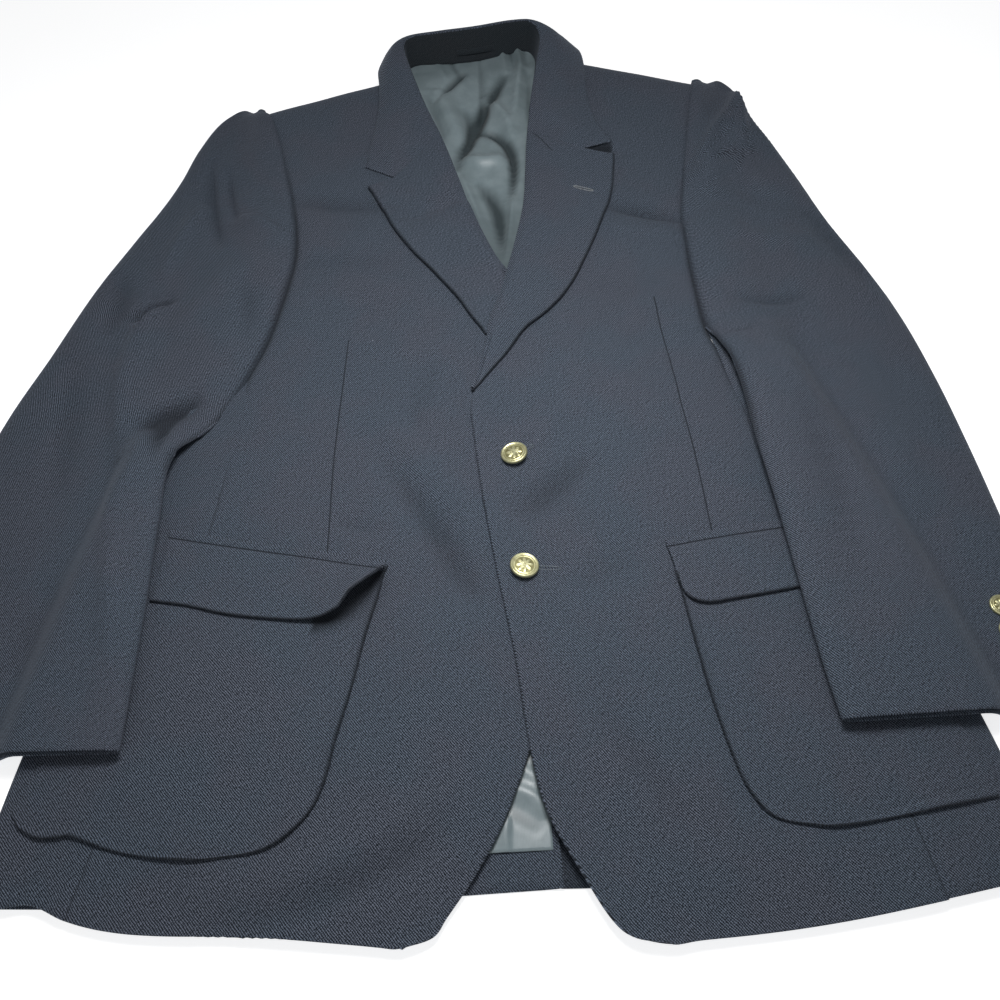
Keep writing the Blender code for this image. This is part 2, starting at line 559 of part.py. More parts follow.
def sleeve_sections(table, rows, side):
    """Upper and lower outer points of a flattened sleeve, row by row."""
    rails = smooth_rows(table, rows)
    seat, loft = np.maximum(rails[:, 4], 0.0), rails[:, 5]
    armhole = np.clip(rails[:, 6], 0.0, 1.0)
    plan = plan_grid(table, rows, SLEEVE_ACROSS)
    across = np.array(SLEEVE_ACROSS)
    upper = np.zeros(plan.shape[:2] + (3,))
    lower = np.zeros(plan.shape[:2] + (3,))
    middle = np.zeros(plan.shape[:2])
    seam = LEFT_SHOULDER if side < 0 else RIGHT_SHOULDER
    column = 1 if side < 0 else 2
    near_edge = np.clip(1.0 - across / 0.12, 0.0, 1.0)
    far_edge = np.clip(1.0 - (1.0 - across) / 0.12, 0.0, 1.0)
    for i in range(rows):
        x, y = plan[i, :, 0], plan[i, :, 1]
        beyond = side * (x - table_value(SIDE_FOLD, column, y))
        base = seat[i] * smoothstep(0.028, -0.003, beyond)
        closed_near = near_edge * (1.0 - armhole[i])
        round_off = np.sqrt(np.maximum(1.0 - np.maximum(closed_near, far_edge) ** 2, 0.0))
        half = loft[i] * 0.5
        front = body_height(x[0], y[0]) - shoulder_dip(x[0], y[0], seam)
        gathered = front + (loft[i] - front) * smoothstep(0.0, 0.8, across)
        puff = 0.0025 * np.sin(pi * np.clip(across / 0.5, 0, 1)) ** 2
        arm_top = half + (gathered + puff - half) * round_off
        tube_top = base + half + half * round_off
        top = arm_top * armhole[i] + tube_top * (1.0 - armhole[i])
        upper[i] = np.stack((x, y, top), axis=1)
        lower[i] = np.stack((x, y, base + half * (1.0 - round_off)), axis=1)
        middle[i] = base + half
    return upper, lower, middle


def build_sleeves():
    """Top and under sleeve meet half way up the rounded edges of the flattened tube."""
    across = np.array(SLEEVE_ACROSS)
    for word, table, side in (("left", LEFT_SLEEVE, -1), ("right", RIGHT_SLEEVE, 1)):
        upper, lower, middle = sleeve_sections(table, 2 * len(table) - 1, side)
        upper_inner = upper + facing(upper, (0, 0, -1)) * WOOL
        lower_inner = lower + facing(lower, (0, 0, 1)) * WOOL
        armhole = np.clip(smooth_rows(table, len(upper))[:, 6], 0.0, 1.0)[:, None]
        rim = ((across > 0.87)[None, :] | ((across < 0.13)[None, :] & (armhole < 0.5)))
        for grid, sign in ((upper, 1), (upper_inner, 1), (lower, -1), (lower_inner, -1)):
            limit = sign * (middle + sign * SEAM * 0.6)
            grid[:, :, 2] = sign * np.where(
                rim, np.maximum(sign * grid[:, :, 2], limit), sign * grid[:, :, 2]
            )
        closed_wall("top_sleeve_" + word, upper, upper_inner, WOOL_NAVY)
        closed_wall("under_sleeve_" + word, lower, lower_inner, WOOL_NAVY)


# Patch pockets: inner x and y, outer x and y
LEFT_PATCH = (
    (-0.0950, 0.2420, -0.2720, 0.2805),
    (-0.0990, 0.2330, -0.2770, 0.2550),
    (-0.1080, 0.1930, -0.2870, 0.2100),
    (-0.1160, 0.1560, -0.2970, 0.1700),
    (-0.1240, 0.1230, -0.3060, 0.1350),
    (-0.1310, 0.0920, -0.3140, 0.1100),
    (-0.1420, 0.0720, -0.3190, 0.0950),
    (-0.1620, 0.0590, -0.3230, 0.0860),
    (-0.2000, 0.0530, -0.3150, 0.0760),
)
RIGHT_PATCH = (
    (0.1040, 0.2480, 0.2320, 0.2660),
    (0.1070, 0.2330, 0.2350, 0.2500),
    (0.1100, 0.2030, 0.2410, 0.2150),
    (0.1130, 0.1680, 0.2490, 0.1800),
    (0.1170, 0.1350, 0.2570, 0.1450),
    (0.1230, 0.1000, 0.2650, 0.1150),
    (0.1300, 0.0760, 0.2720, 0.0950),
    (0.1430, 0.0600, 0.2770, 0.0850),
    (0.1700, 0.0540, 0.2750, 0.0680),
)


def build_patch_pockets():
    across = np.linspace(0.0, 1.0, 8)
    for name, table in (("patch_pocket_left", LEFT_PATCH), ("patch_pocket_right", RIGHT_PATCH)):
        plan = plan_grid(table, 17, across)
        rise = body_height(plan[:, :, 0], plan[:, :, 1]) + LAYER
        cloth_wall(name, lift(plan, rise), WOOL, WOOL_NAVY)


# Flaps: top x and y, lower x and y, lift of the lower edge
LEFT_FLAP = (
    (-0.2560, 0.2810, -0.2600, 0.2240, 0.0000),
    (-0.2320, 0.2750, -0.2340, 0.2190, 0.0000),
    (-0.2050, 0.2690, -0.2050, 0.2110, 0.0004),
    (-0.1780, 0.2630, -0.1760, 0.2060, 0.0006),
    (-0.1500, 0.2570, -0.1480, 0.2030, 0.0014),
    (-0.1260, 0.2515, -0.1290, 0.2060, 0.0050),
    (-0.1080, 0.2475, -0.1170, 0.2170, 0.0080),
    (-0.0960, 0.2450, -0.1000, 0.2350, 0.0040),
)
RIGHT_FLAP = (
    (0.1035, 0.2510, 0.1080, 0.2240, 0.0006),
    (0.1120, 0.2520, 0.1110, 0.2080, 0.0012),
    (0.1260, 0.2540, 0.1240, 0.2005, 0.0010),
    (0.1500, 0.2570, 0.1490, 0.2030, 0.0006),
    (0.1760, 0.2600, 0.1760, 0.2065, 0.0004),
    (0.2020, 0.2630, 0.2030, 0.2100, 0.0000),
    (0.2250, 0.2655, 0.2270, 0.2130, 0.0000),
)


def build_flaps():
    across = np.linspace(0.0, 1.0, 6)
    for name, table in (("flap_left", LEFT_FLAP), ("flap_right", RIGHT_FLAP)):
        rows = 15
        plan = plan_grid(np.array(table)[:, :4], rows, across)
        raised = smooth_rows(np.array(table)[:, 4:5], rows)
        rise = body_height(plan[:, :, 0], plan[:, :, 1]) + 2.0 * LAYER
        rise = rise + np.maximum(raised, 0.0) * across[None, :] ** 1.8
        cloth_wall(name, lift(plan, rise), WOOL, WOOL_NAVY)


def build_breast_welt():
    """A narrow welt on the right front, slightly higher towards the sleeve."""
    along = np.linspace(0.092, 0.156, 6)
    share = np.linspace(0.0, 1.0, 3)
    x, up = np.meshgrid(along, share, indexing="ij")
    slope = (x - 0.104) * 0.06
    y = 0.541 + slope + up * 0.0235
    rise = body_height(x, y) + LAYER
    cloth_wall("breast_welt", np.dstack((x, y, rise)), WOOL, WOOL_NAVY)


# Round button: share of the radius, share of the height
BUTTON_PROFILE = (
    (0.86, 0.00),
    (1.00, 0.35),
    (1.00, 0.75),
    (0.93, 1.00),
    (0.84, 1.00),
    (0.76, 0.80),
    (0.40, 0.92),
)


def build_button(name, place, diameter, height, axis, sides):
    """A metal button, turned like a coin with a raised rim and a shallow dome."""
    mesh = bmesh.new()
    axis = np.array(axis) / np.linalg.norm(axis)
    flat = np.cross(axis, (0.0, 1.0, 0.0))
    flat = flat / np.linalg.norm(flat)
    other = np.cross(axis, flat)
    centre = np.array(place) - np.array((FOOTPRINT_CENTRE[0], FOOTPRINT_CENTRE[1], 0.0))
    rings = []
    for reach, rise in BUTTON_PROFILE:
        ring = []
        for k in range(sides):
            turn = 2.0 * pi * k / sides
            spoke = flat * cos(turn) + other * sin(turn)
            point = centre + spoke * reach * diameter / 2.0 + axis * rise * height
            ring.append(mesh.verts.new(point))
        rings.append(ring)
    for low, high in zip(rings, rings[1:]):
        for k in range(sides):
            mesh.faces.new((low[k], low[(k + 1) % sides], high[(k + 1) % sides], high[k]))
    mesh.faces.new(rings[0][::-1])
    crown = mesh.verts.new(centre + axis * height)
    for k in range(sides):
        mesh.faces.new((rings[-1][k], rings[-1][(k + 1) % sides], crown))
    return finish(name, mesh, PALE_GOLD)


# Front buttons: x, y, added lean in degrees, direction of the lean
FRONT_BUTTONS = (
    ("front_button_upper", 0.0000, 0.3320, 5.0, 210.0),
    ("front_button_lower", 0.0020, 0.2360, 5.0, 330.0),
)
# Sleeve buttons: distance above the cuff
SLEEVE_BUTTON_ROW = (0.034, 0.052, 0.070)
CUFF_Y = 0.117


def seat_on(item, x, y, reach):
    """Find where a disc of this reach rests on a piece: its height and its two slopes."""
    points = [vertex.co for vertex in item.data.vertices]
    faces = [tuple(face.vertices) for face in item.data.polygons]
    tree = BVHTree.FromPolygons(points, faces)
    down = Vector((0.0, 0.0, -1.0))

    def height(step_x, step_y):
        start = (x + step_x - FOOTPRINT_CENTRE[0], y + step_y - FOOTPRINT_CENTRE[1], 0.2)
        return tree.ray_cast(Vector(start), down)[0].z

    slope_x = (height(reach, 0.0) - height(-reach, 0.0)) / (2.0 * reach)
    slope_y = (height(0.0, reach) - height(0.0, -reach)) / (2.0 * reach)
    middle = height(0.0, 0.0)
    proud = 0.0
    for k in range(12):
        step_x, step_y = reach * cos(k * pi / 6.0), reach * sin(k * pi / 6.0)
        plane = middle + slope_x * step_x + slope_y * step_y
        proud = max(proud, height(step_x, step_y) - plane)
    return middle + proud, slope_x, slope_y


def build_buttons():
    front = bpy.data.objects["front_right"]
    for name, x, y, lean, way in FRONT_BUTTONS:
        seat, slope_x, slope_y = seat_on(front, x, y, FRONT_BUTTON_DIAMETER * 0.5)
        sink = sin(radians(lean)) * FRONT_BUTTON_DIAMETER * 0.43
        axis = (
            sin(radians(lean)) * cos(radians(way)) - slope_x,
            sin(radians(lean)) * sin(radians(way)) - slope_y,
            1.0,
        )
        place = (x, y, seat + SEAM + sink)
        build_button(name, place, FRONT_BUTTON_DIAMETER, 0.0032, axis, 24)
    for word, x in (("left", -0.3850), ("right", 0.3190)):
        sleeve = bpy.data.objects["top_sleeve_" + word]
        for number, above in enumerate(SLEEVE_BUTTON_ROW, 1):
            name = "sleeve_button_%s_%d" % (word, number)
            y = CUFF_Y + above
            seat, slope_x, slope_y = seat_on(sleeve, x, y, SLEEVE_BUTTON_DIAMETER * 0.5)
            place = (x, y, seat + SEAM * 1.5)
            axis = (-slope_x, -slope_y, 1.0)
            build_button(name, place, SLEEVE_BUTTON_DIAMETER, 0.0026, axis, 14)


# Hanger loop: x and y of its face, just off the collar stand
HANGER_LOOP = (
    (-0.034, 0.8408),
    (-0.024, 0.8415),
    (-0.015, 0.8427),
    (-0.005, 0.8447),
    (0.004, 0.8470),
)
HANGER_LOOP_LOW = 0.0355
HANGER_LOOP_WIDTH = 0.0045


def build_hanger_loop():
    """A flat tape loop on the face of the collar stand, inside the neck."""
    rows = smooth_rows(HANGER_LOOP, 9)
    grid = []
    for x, y in rows:
        row = []
        for share in (0.0, 0.5, 1.0):
            rise = HANGER_LOOP_LOW + share * HANGER_LOOP_WIDTH
            row.append((x, y + share * HANGER_LOOP_WIDTH * 0.5, rise))
        grid.append(row)
    cloth_wall("hanger_loop", np.array(grid), 0.0008, WOOL_NAVY, (0.0, 1.0, 0.0))


clear_scene()
build_backs()
build_side_bodies()
build_neck_lining()
build_hem_lining()
build_fronts()
build_collar()
build_lapels()
build_hanger_loop()
build_sleeves()
build_patch_pockets()
build_flaps()
build_breast_welt()
build_buttons()
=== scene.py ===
"""Looks of a two-button blazer that lies flat on its back, front side up.

Plan positions are in the garment's own frame: x = 0 is the centre front through the buttons,
y = 0 is the lowest point of the front hem, y grows towards the collar. Each piece is then moved
so that the middle of the garment's footprint is the world's origin.
"""
import json
import bpy
import numpy as np
from math import cos, pi, radians, sin
from mathutils import Matrix, Vector
from mathutils.bvhtree import BVHTree

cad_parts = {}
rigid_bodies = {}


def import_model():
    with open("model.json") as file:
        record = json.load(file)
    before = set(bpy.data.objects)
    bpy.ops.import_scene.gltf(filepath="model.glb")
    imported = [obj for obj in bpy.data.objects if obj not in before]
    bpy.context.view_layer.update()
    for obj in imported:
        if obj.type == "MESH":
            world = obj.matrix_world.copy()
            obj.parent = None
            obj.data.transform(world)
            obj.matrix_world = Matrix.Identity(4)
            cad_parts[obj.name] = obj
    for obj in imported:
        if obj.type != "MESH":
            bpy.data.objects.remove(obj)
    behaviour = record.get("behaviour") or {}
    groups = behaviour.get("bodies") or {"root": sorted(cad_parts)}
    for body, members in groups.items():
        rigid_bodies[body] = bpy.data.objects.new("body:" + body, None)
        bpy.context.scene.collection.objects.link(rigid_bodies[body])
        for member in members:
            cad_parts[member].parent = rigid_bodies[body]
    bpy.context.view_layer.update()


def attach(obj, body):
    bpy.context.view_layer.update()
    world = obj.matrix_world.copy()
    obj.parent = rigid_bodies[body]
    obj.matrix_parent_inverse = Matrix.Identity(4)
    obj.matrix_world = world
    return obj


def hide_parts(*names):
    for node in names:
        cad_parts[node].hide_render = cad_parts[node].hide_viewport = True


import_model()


# Back
# Two halves of navy wool twill, joined by a centre seam that opens into a vent at the hem.
# The back lies on the table under every other piece and turns up at the shoulders.
WOOL = 0.0016
SEAM = 0.0003
LAYER = WOOL + SEAM
FOOTPRINT_CENTRE = np.array((-0.0395, 0.4478, 0.0))
BACK_BEND = 0.38
# Columns: inner x, y on the centre seam, bend x, y, outer x, y on the side seam and armhole
LEFT_BACK = (
    (0.0118, 0.029, -0.09, 0.027, -0.252, 0.03),
    (0.008, 0.11, -0.088, 0.108, -0.244, 0.112),
    (0.003, 0.22, -0.086, 0.219, -0.236, 0.22),
    (-0.002, 0.33, -0.084, 0.325, -0.232, 0.31),
    (-0.005, 0.43, -0.084, 0.42, -0.228, 0.385),
    (-0.007, 0.52, -0.084, 0.505, -0.203, 0.456),
    (-0.009, 0.61, -0.084, 0.595, -0.187, 0.545),
    (-0.011, 0.7, -0.085, 0.685, -0.191, 0.625),
    (-0.012, 0.775, -0.088, 0.76, -0.208, 0.695),
    (-0.012, 0.808, -0.09, 0.795, -0.22, 0.742),
    (-0.012, 0.836, -0.092, 0.824, -0.2355, 0.7765),
)
RIGHT_BACK = (
    (0.0121, 0.029, 0.08, 0.027, 0.222, 0.03),
    (0.0083, 0.11, 0.078, 0.108, 0.212, 0.112),
    (0.0033, 0.22, 0.074, 0.219, 0.2, 0.22),
    (-0.0017, 0.33, 0.068, 0.328, 0.19, 0.32),
    (-0.0047, 0.43, 0.062, 0.425, 0.177, 0.41),
    (-0.0067, 0.52, 0.06, 0.505, 0.171, 0.47),
    (-0.0087, 0.61, 0.058, 0.595, 0.165, 0.555),
    (-0.0107, 0.7, 0.06, 0.685, 0.177, 0.645),
    (-0.0117, 0.775, 0.064, 0.765, 0.19, 0.71),
    (-0.0117, 0.808, 0.068, 0.805, 0.1975, 0.748),
    (-0.0117, 0.84, 0.072, 0.838, 0.208, 0.786),
)
BACK_RISE_AT_NECK = 0.0240
BACK_RISE_AT_TIP = 0.0150
TURN_UP_FROM = 0.86
VENT_TOP = 0.170
VENT_LAP = 0.0020
VENT_RISE = 0.0018
VENT_LAP_WIDTH = 0.012
VENT_LIP_WIDTH = 0.006
HALF_BACK_WIDTH = 0.26
UNDERLAP_SHADE = 0.6
EDGE_BULGE = 0.35


def smoothstep(low, high, value):
    share = np.clip((np.asarray(value, float) - low) / (high - low), 0.0, 1.0)
    return share * share * (3.0 - 2.0 * share)


def falloff(distance, width):
    """1 at no distance, and softly down to almost nothing beyond twice the width."""
    return np.exp(-((distance / width) ** 2))


def smooth_rows(table, count):
    """Pass a smooth curve through a table's rows and return evenly numbered rows on it."""
    data = np.array(table, float)
    place = np.linspace(0.0, len(data) - 1.0, count)
    start = np.minimum(place.astype(int), len(data) - 2)
    share = (place - start).reshape((-1,) + (1,) * (data.ndim - 1))
    slope = np.gradient(data, axis=0)
    first, last = data[start], data[start + 1]
    rise_first, rise_last = slope[start], slope[start + 1]
    return (
        (2 * share**3 - 3 * share**2 + 1) * first
        + (share**3 - 2 * share**2 + share) * rise_first
        + (3 * share**2 - 2 * share**3) * last
        + (share**3 - share**2) * rise_last
    )


def plan_grid(table, rows, across, bend=None):
    """Plan points between an inner and an outer rail, by way of a bend rail if there is one."""
    rails = smooth_rows(table, rows)
    share = np.asarray(across, float)[None, :, None]
    if bend is None:
        inner, outer = rails[:, None, 0:2], rails[:, None, 2:4]
        return inner + (outer - inner) * share
    inner, middle, outer = rails[:, None, 0:2], rails[:, None, 2:4], rails[:, None, 4:6]
    near = inner + (middle - inner) * np.clip(share / bend, 0, 1)
    far = (outer - middle) * np.clip((share - bend) / (1 - bend), 0, 1)
    return near + far


def lift(plan, height):
    return np.dstack((plan[:, :, 0], plan[:, :, 1], height))


def facing(outer, inside):
    """Unit normals of a grid, turned to its inside."""
    normal = np.cross(np.gradient(outer, axis=0), np.gradient(outer, axis=1))
    normal = normal / np.maximum(np.linalg.norm(normal, axis=2, keepdims=True), 1e-12)
    middle = normal[normal.shape[0] // 2, normal.shape[1] // 2]
    return normal if np.dot(middle, inside) > 0 else -normal


def edge_ring(rows, columns):
    """Row and column numbers of a grid's border, once round."""
    last_row, last_column = rows - 1, columns - 1
    ring_rows = np.r_[
        np.zeros(last_column, int), np.arange(last_row),
        np.full(last_column, last_row), np.arange(last_row, 0, -1),
    ]
    ring_columns = np.r_[
        np.arange(last_column), np.full(last_row, last_column),
        np.arange(last_column, 0, -1), np.zeros(last_row, int),
    ]
    return ring_rows, ring_columns


def cloth_mesh(name, outer, inner, grain, marks):
    """A closed thin cloth with rounded edges, from grids of its outer and inner points."""
    rows, columns = outer.shape[:2]
    ring_rows, ring_columns = edge_ring(rows, columns)
    away = np.zeros_like(outer)
    away[0] += outer[0] - outer[1]
    away[-1] += outer[-1] - outer[-2]
    away[:, 0] += outer[:, 0] - outer[:, 1]
    away[:, -1] += outer[:, -1] - outer[:, -2]
    away = away[ring_rows, ring_columns]
    away = away / np.maximum(np.linalg.norm(away, axis=1, keepdims=True), 1e-12)
    top, low = outer[ring_rows, ring_columns], inner[ring_rows, ring_columns]
    deep = np.linalg.norm(top - low, axis=1, keepdims=True)
    edge = (top + low) * 0.5 + away * deep * EDGE_BULGE
    points = np.concatenate((outer.reshape(-1, 3), inner.reshape(-1, 3), edge))
    count = rows * columns
    number = np.arange(count).reshape(rows, columns)
    a, b = number[:-1, :-1].ravel(), number[:-1, 1:].ravel()
    c, d = number[1:, 1:].ravel(), number[1:, :-1].ravel()
    ring = number[ring_rows, ring_columns]
    following = np.roll(ring, -1)
    middle = 2 * count + np.arange(len(ring))
    middle_following = np.roll(middle, -1)
    faces = np.concatenate((
        np.stack((a, b, c, d), axis=1),
        np.stack((a, d, c, b), axis=1) + count,
        np.stack((following, ring, middle, middle_following), axis=1),
        np.stack((middle_following, middle, ring + count, following + count), axis=1),
    ))
    i, j = rows // 2, columns // 2
    normal = np.cross(outer[i, j + 1] - outer[i, j], outer[i + 1, j] - outer[i, j])
    if np.dot(normal, outer[i, j] - inner[i, j]) < 0:
        faces = faces[:, ::-1]
    mesh = bpy.data.meshes.new(name)
    mesh.from_pydata((points - FOOTPRINT_CENTRE).tolist(), [], faces.tolist())
    flat = grain.reshape(-1, 2)
    flat = np.concatenate((flat, flat, grain[ring_rows, ring_columns]))
    layer = mesh.uv_layers.new(name="grain")
    layer.data.foreach_set("uv", flat[faces.ravel()].astype(np.float32).ravel())
    for word, value in (marks or {}).items():
        value = np.broadcast_to(value, (rows, columns))
        value = np.r_[value.ravel(), value.ravel(), value[ring_rows, ring_columns]]
        mark = mesh.attributes.new(word, "FLOAT", "POINT")
        mark.data.foreach_set("value", value.astype(np.float32))
    mesh.shade_smooth()
    return mesh


def cloth_piece(name, look, outer, thickness, inside=(0.0, 0.0, -1.0), grain=None, marks=None,
                inner=None):
    """Make one cloth piece that rides with the garment, thickened to its inside."""
    if inner is None:
        depth = np.broadcast_to(thickness, outer.shape[:2])[:, :, None]
        inner = outer + facing(outer, inside) * depth
    grain = outer[:, :, 0:2] if grain is None else grain
    piece = bpy.data.objects.new(name, cloth_mesh(name, outer, inner, grain, marks))
    bpy.context.scene.collection.objects.link(piece)
    piece.data.materials.append(look)
    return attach(piece, "root")


def plug(tree, socket, value):
    """Give a socket a number, a colour, or another node's output."""
    if isinstance(value, bpy.types.NodeSocket):
        tree.links.new(value, socket)
    else:
        socket.default_value = value


def node(tree, kind, inputs=None, **settings):
    """Add a shader node. An input is a number, a colour, or another node's socket."""
    made = tree.nodes.new(kind)
    for word, value in settings.items():
        setattr(made, word, value)
    for word, value in (inputs or {}).items():
        plug(tree, made.inputs[word], value)
    return made


def sums(tree, operation, first, second):
    made = node(tree, "ShaderNodeMath", operation=operation)
    for place, value in ((0, first), (1, second)):
        plug(tree, made.inputs[place], value)
    return made.outputs[0]


def ramp(tree, value, low, high, to_low=0.0, to_high=1.0):
    """Turn a value between low and high into one between to_low and to_high, with soft ends."""
    made = node(tree, "ShaderNodeMapRange", {
        "Value": value, "From Min": low, "From Max": high, "To Min": to_low, "To Max": to_high,
    }, interpolation_type="SMOOTHSTEP")
    return made.outputs[0]


def blend(tree, share, first, second, mode="MIX"):
    made = tree.nodes.new("ShaderNodeMix")
    made.data_type = "RGBA"
    made.blend_type = mode
    for place, value in ((0, share), (6, first), (7, second)):
        plug(tree, made.inputs[place], value)
    return made.outputs[2]


def new_look(name):
    """A new material, its node tree and its shader."""
    made = bpy.data.materials.new(name)
    made.use_nodes = True
    return made, made.node_tree, made.node_tree.nodes["Principled BSDF"]


def mark_value(tree, word):
    return node(tree, "ShaderNodeAttribute", attribute_name=word).outputs["Fac"]


def raise_surface(tree, shader, height, strength=1.0, distance=1.0):
    """Let the surface rise and sink with a height, as a bump."""
    bump = node(tree, "ShaderNodeBump", {
        "Height": height, "Strength": strength, "Distance": distance,
    })
    tree.links.new(bump.outputs[0], shader.inputs["Normal"])


WOOL_DARK = (0.005, 0.008, 0.012, 1.0)
WOOL_LIGHT = (0.182, 0.214, 0.276, 1.0)
CREASE_SHADE = (0.006, 0.008, 0.011, 1.0)
WOOL_WARM = (1.03, 0.99, 0.99, 1.0)
WOOL_COOL = (0.96, 1.00, 1.01, 1.0)
LINT = (0.36, 0.40, 0.44, 1.0)
WALE_MM = 1.30
PICK_MM = 1.15
YARN_PER_MM = 1.45
SEAM_HALF_WIDTH = 0.0008
STITCH_HALF_WIDTH = 0.0006
STITCH_LENGTH = 0.0042
STITCH_SHARE = 0.22
SEWN_SHADE = (0.010, 0.013, 0.018, 1.0)
SEWN_DARKER = 0.72
CREASE_SHADE_STRENGTH = 0.85
WALE_TURN = radians(-42.0)
WEAVE_RELIEF = 0.00016
SEWN_RELIEF = 0.0007
WAVE_SCALE = 2.0 * pi / 20.0


def seam_mask(tree, word, half_width):
    """1 on a sewn line and 0 beside it, from the cloth's distance to that line."""
    distance = mark_value(tree, word)
    shown = mark_value(tree, word + "_on")
    distance = sums(tree, "ABSOLUTE", distance, 0.0)
    near = ramp(tree, distance, half_width * 0.35, half_width, 1.0, 0.0)
    return sums(tree, "MULTIPLY", near, ramp(tree, shown, 0.3, 0.7))


def navy_wool(name, dark, light):
    """Wool twill: slanting wales, uneven yarn, a little lint, grooves on its seams, and painted shade
    where the crease mark says.
    """
    made, tree, shader = new_look(name)
    grain = node(tree, "ShaderNodeUVMap", uv_map="grain").outputs[0]
    mm = node(tree, "ShaderNodeMapping", {"Vector": grain, "Scale": (1000.0, 1000.0, 1000.0)})
    turned = node(tree, "ShaderNodeMapping", {
        "Vector": mm.outputs[0], "Rotation": (0.0, 0.0, WALE_TURN),
    })
    wale = node(tree, "ShaderNodeTexWave", {
        "Vector": turned.outputs[0], "Scale": WAVE_SCALE / WALE_MM,
        "Distortion": 3.4, "Detail": 2.0, "Detail Scale": 0.55,
    }, bands_direction="X").outputs["Fac"]
    pick = node(tree, "ShaderNodeTexWave", {
        "Vector": turned.outputs[0], "Scale": WAVE_SCALE / PICK_MM,
        "Distortion": 4.0, "Detail": 1.0, "Detail Scale": 0.7,
    }, bands_direction="Y").outputs["Fac"]
    along_wale = node(tree, "ShaderNodeMapping", {
        "Vector": turned.outputs[0], "Scale": (YARN_PER_MM, YARN_PER_MM * 0.42, 1.0),
    })
    yarn = node(tree, "ShaderNodeTexNoise", {
        "Vector": along_wale.outputs[0], "Scale": 1.0, "Detail": 2.0, "Roughness": 0.7,
    }).outputs["Fac"]
    weave = sums(tree, "MULTIPLY", wale, sums(tree, "ADD", sums(tree, "MULTIPLY", pick, 0.55), 0.45))
    weave = sums(tree, "ADD", sums(tree, "MULTIPLY", weave, 0.38), sums(tree, "MULTIPLY", yarn, 0.74))
    tone = ramp(tree, weave, 0.345, 0.80)
    colour = blend(tree, tone, dark, light)
    patch = node(tree, "ShaderNodeTexNoise", {
        "Vector": mm.outputs[0], "Scale": 0.011, "Detail": 3.0, "Roughness": 0.6,
    }).outputs["Fac"]
    tint = blend(tree, ramp(tree, patch, 0.40, 0.60), WOOL_COOL, WOOL_WARM)
    colour = blend(tree, 1.0, colour, tint, "MULTIPLY")
    cells = node(tree, "ShaderNodeTexVoronoi", {"Vector": mm.outputs[0], "Scale": 0.045})
    speck = ramp(tree, cells.outputs["Distance"], 0.012, 0.024, 1.0, 0.0)
    chosen = node(tree, "ShaderNodeSeparateColor", {"Color": cells.outputs["Color"]})
    speck = sums(tree, "MULTIPLY", speck, ramp(tree, chosen.outputs[0], 0.60, 0.85))
    colour = blend(tree, speck, colour, LINT)
    seam = seam_mask(tree, "seam", SEAM_HALF_WIDTH)
    stitch = seam_mask(tree, "stitch", STITCH_HALF_WIDTH)
    run = mark_value(tree, "stitch_run")
    along = sums(tree, "MULTIPLY", run, 2.0 * pi / STITCH_LENGTH)
    dash = ramp(tree, sums(tree, "SINE", along, 0.0), 0.2, 0.6)
    stitch = sums(tree, "MULTIPLY", stitch, dash)
    sewn = sums(tree, "MAXIMUM", seam, sums(tree, "MULTIPLY", stitch, STITCH_SHARE))
    colour = blend(tree, sums(tree, "MULTIPLY", sewn, SEWN_DARKER), colour, SEWN_SHADE)
    # Painted shade: the crease mark darkens troughs, the cloth under and along raised free edges, and
    # the seams beside the sleeves.
    crease = mark_value(tree, "crease")
    colour = blend(tree, sums(tree, "MULTIPLY", crease, CREASE_SHADE_STRENGTH), colour, CREASE_SHADE)
    tree.links.new(colour, shader.inputs["Base Color"])
    tree.links.new(ramp(tree, weave, 0.2, 0.8, 0.97, 0.84), shader.inputs["Roughness"])
    relief = sums(tree, "MULTIPLY", weave, WEAVE_RELIEF)
    relief = sums(tree, "SUBTRACT", relief, sums(tree, "MULTIPLY", sewn, SEWN_RELIEF))
    raise_surface(tree, shader, relief)
    shader.inputs["Specular IOR Level"].default_value = 0.25
    shader.inputs["Sheen Weight"].default_value = 0.10
    shader.inputs["Sheen Roughness"].default_value = 0.55
    shader.inputs["Sheen Tint"].default_value = (0.75, 0.84, 1.0, 1.0)
    return made


wool_look = navy_wool("navy_wool_twill", WOOL_DARK, WOOL_LIGHT)


for side, table in (("left", LEFT_BACK), ("right", RIGHT_BACK)):
    rows, columns = 140, 52
    plan = plan_grid(table, rows, np.linspace(0.0, 1.0, columns), BACK_BEND)
    along = np.linspace(0.0, 1.0, rows)[:, None]
    reach = np.linspace(0.0, 1.0, columns)[None, :]
    turn = np.clip((along - TURN_UP_FROM) / (1.0 - TURN_UP_FROM), 0.0, 1.0)
    rise = BACK_RISE_AT_NECK + (BACK_RISE_AT_TIP - BACK_RISE_AT_NECK) * smoothstep(0.2, 0.9, reach)
    rise = rise * (1.0 - np.sqrt(1.0 - turn * turn * 0.98))
    if side == "left":
        vent = smoothstep(VENT_TOP, VENT_TOP - 0.05, plan[:, :, 1])
        from_vent = reach * HALF_BACK_WIDTH
        plan[:, :, 0] += VENT_LAP * vent * falloff(from_vent, VENT_LAP_WIDTH)
        rise = rise + VENT_RISE * vent * falloff(from_vent, VENT_LIP_WIDTH)
        shade = 0.0 * rise
    else:
        # Painted shade on the right back beside the vent, where the left back's edge laps over it.
        underlap = smoothstep(0.030, 0.024, plan[:, :, 0])
        shade = UNDERLAP_SHADE * underlap * smoothstep(VENT_TOP, 0.14, plan[:, :, 1])
    back = cloth_piece("back_cloth_" + side, wool_look, lift(plan, rise), WOOL, (0, 0, 1),
                       marks={"crease": shade})
    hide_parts("back_" + side)


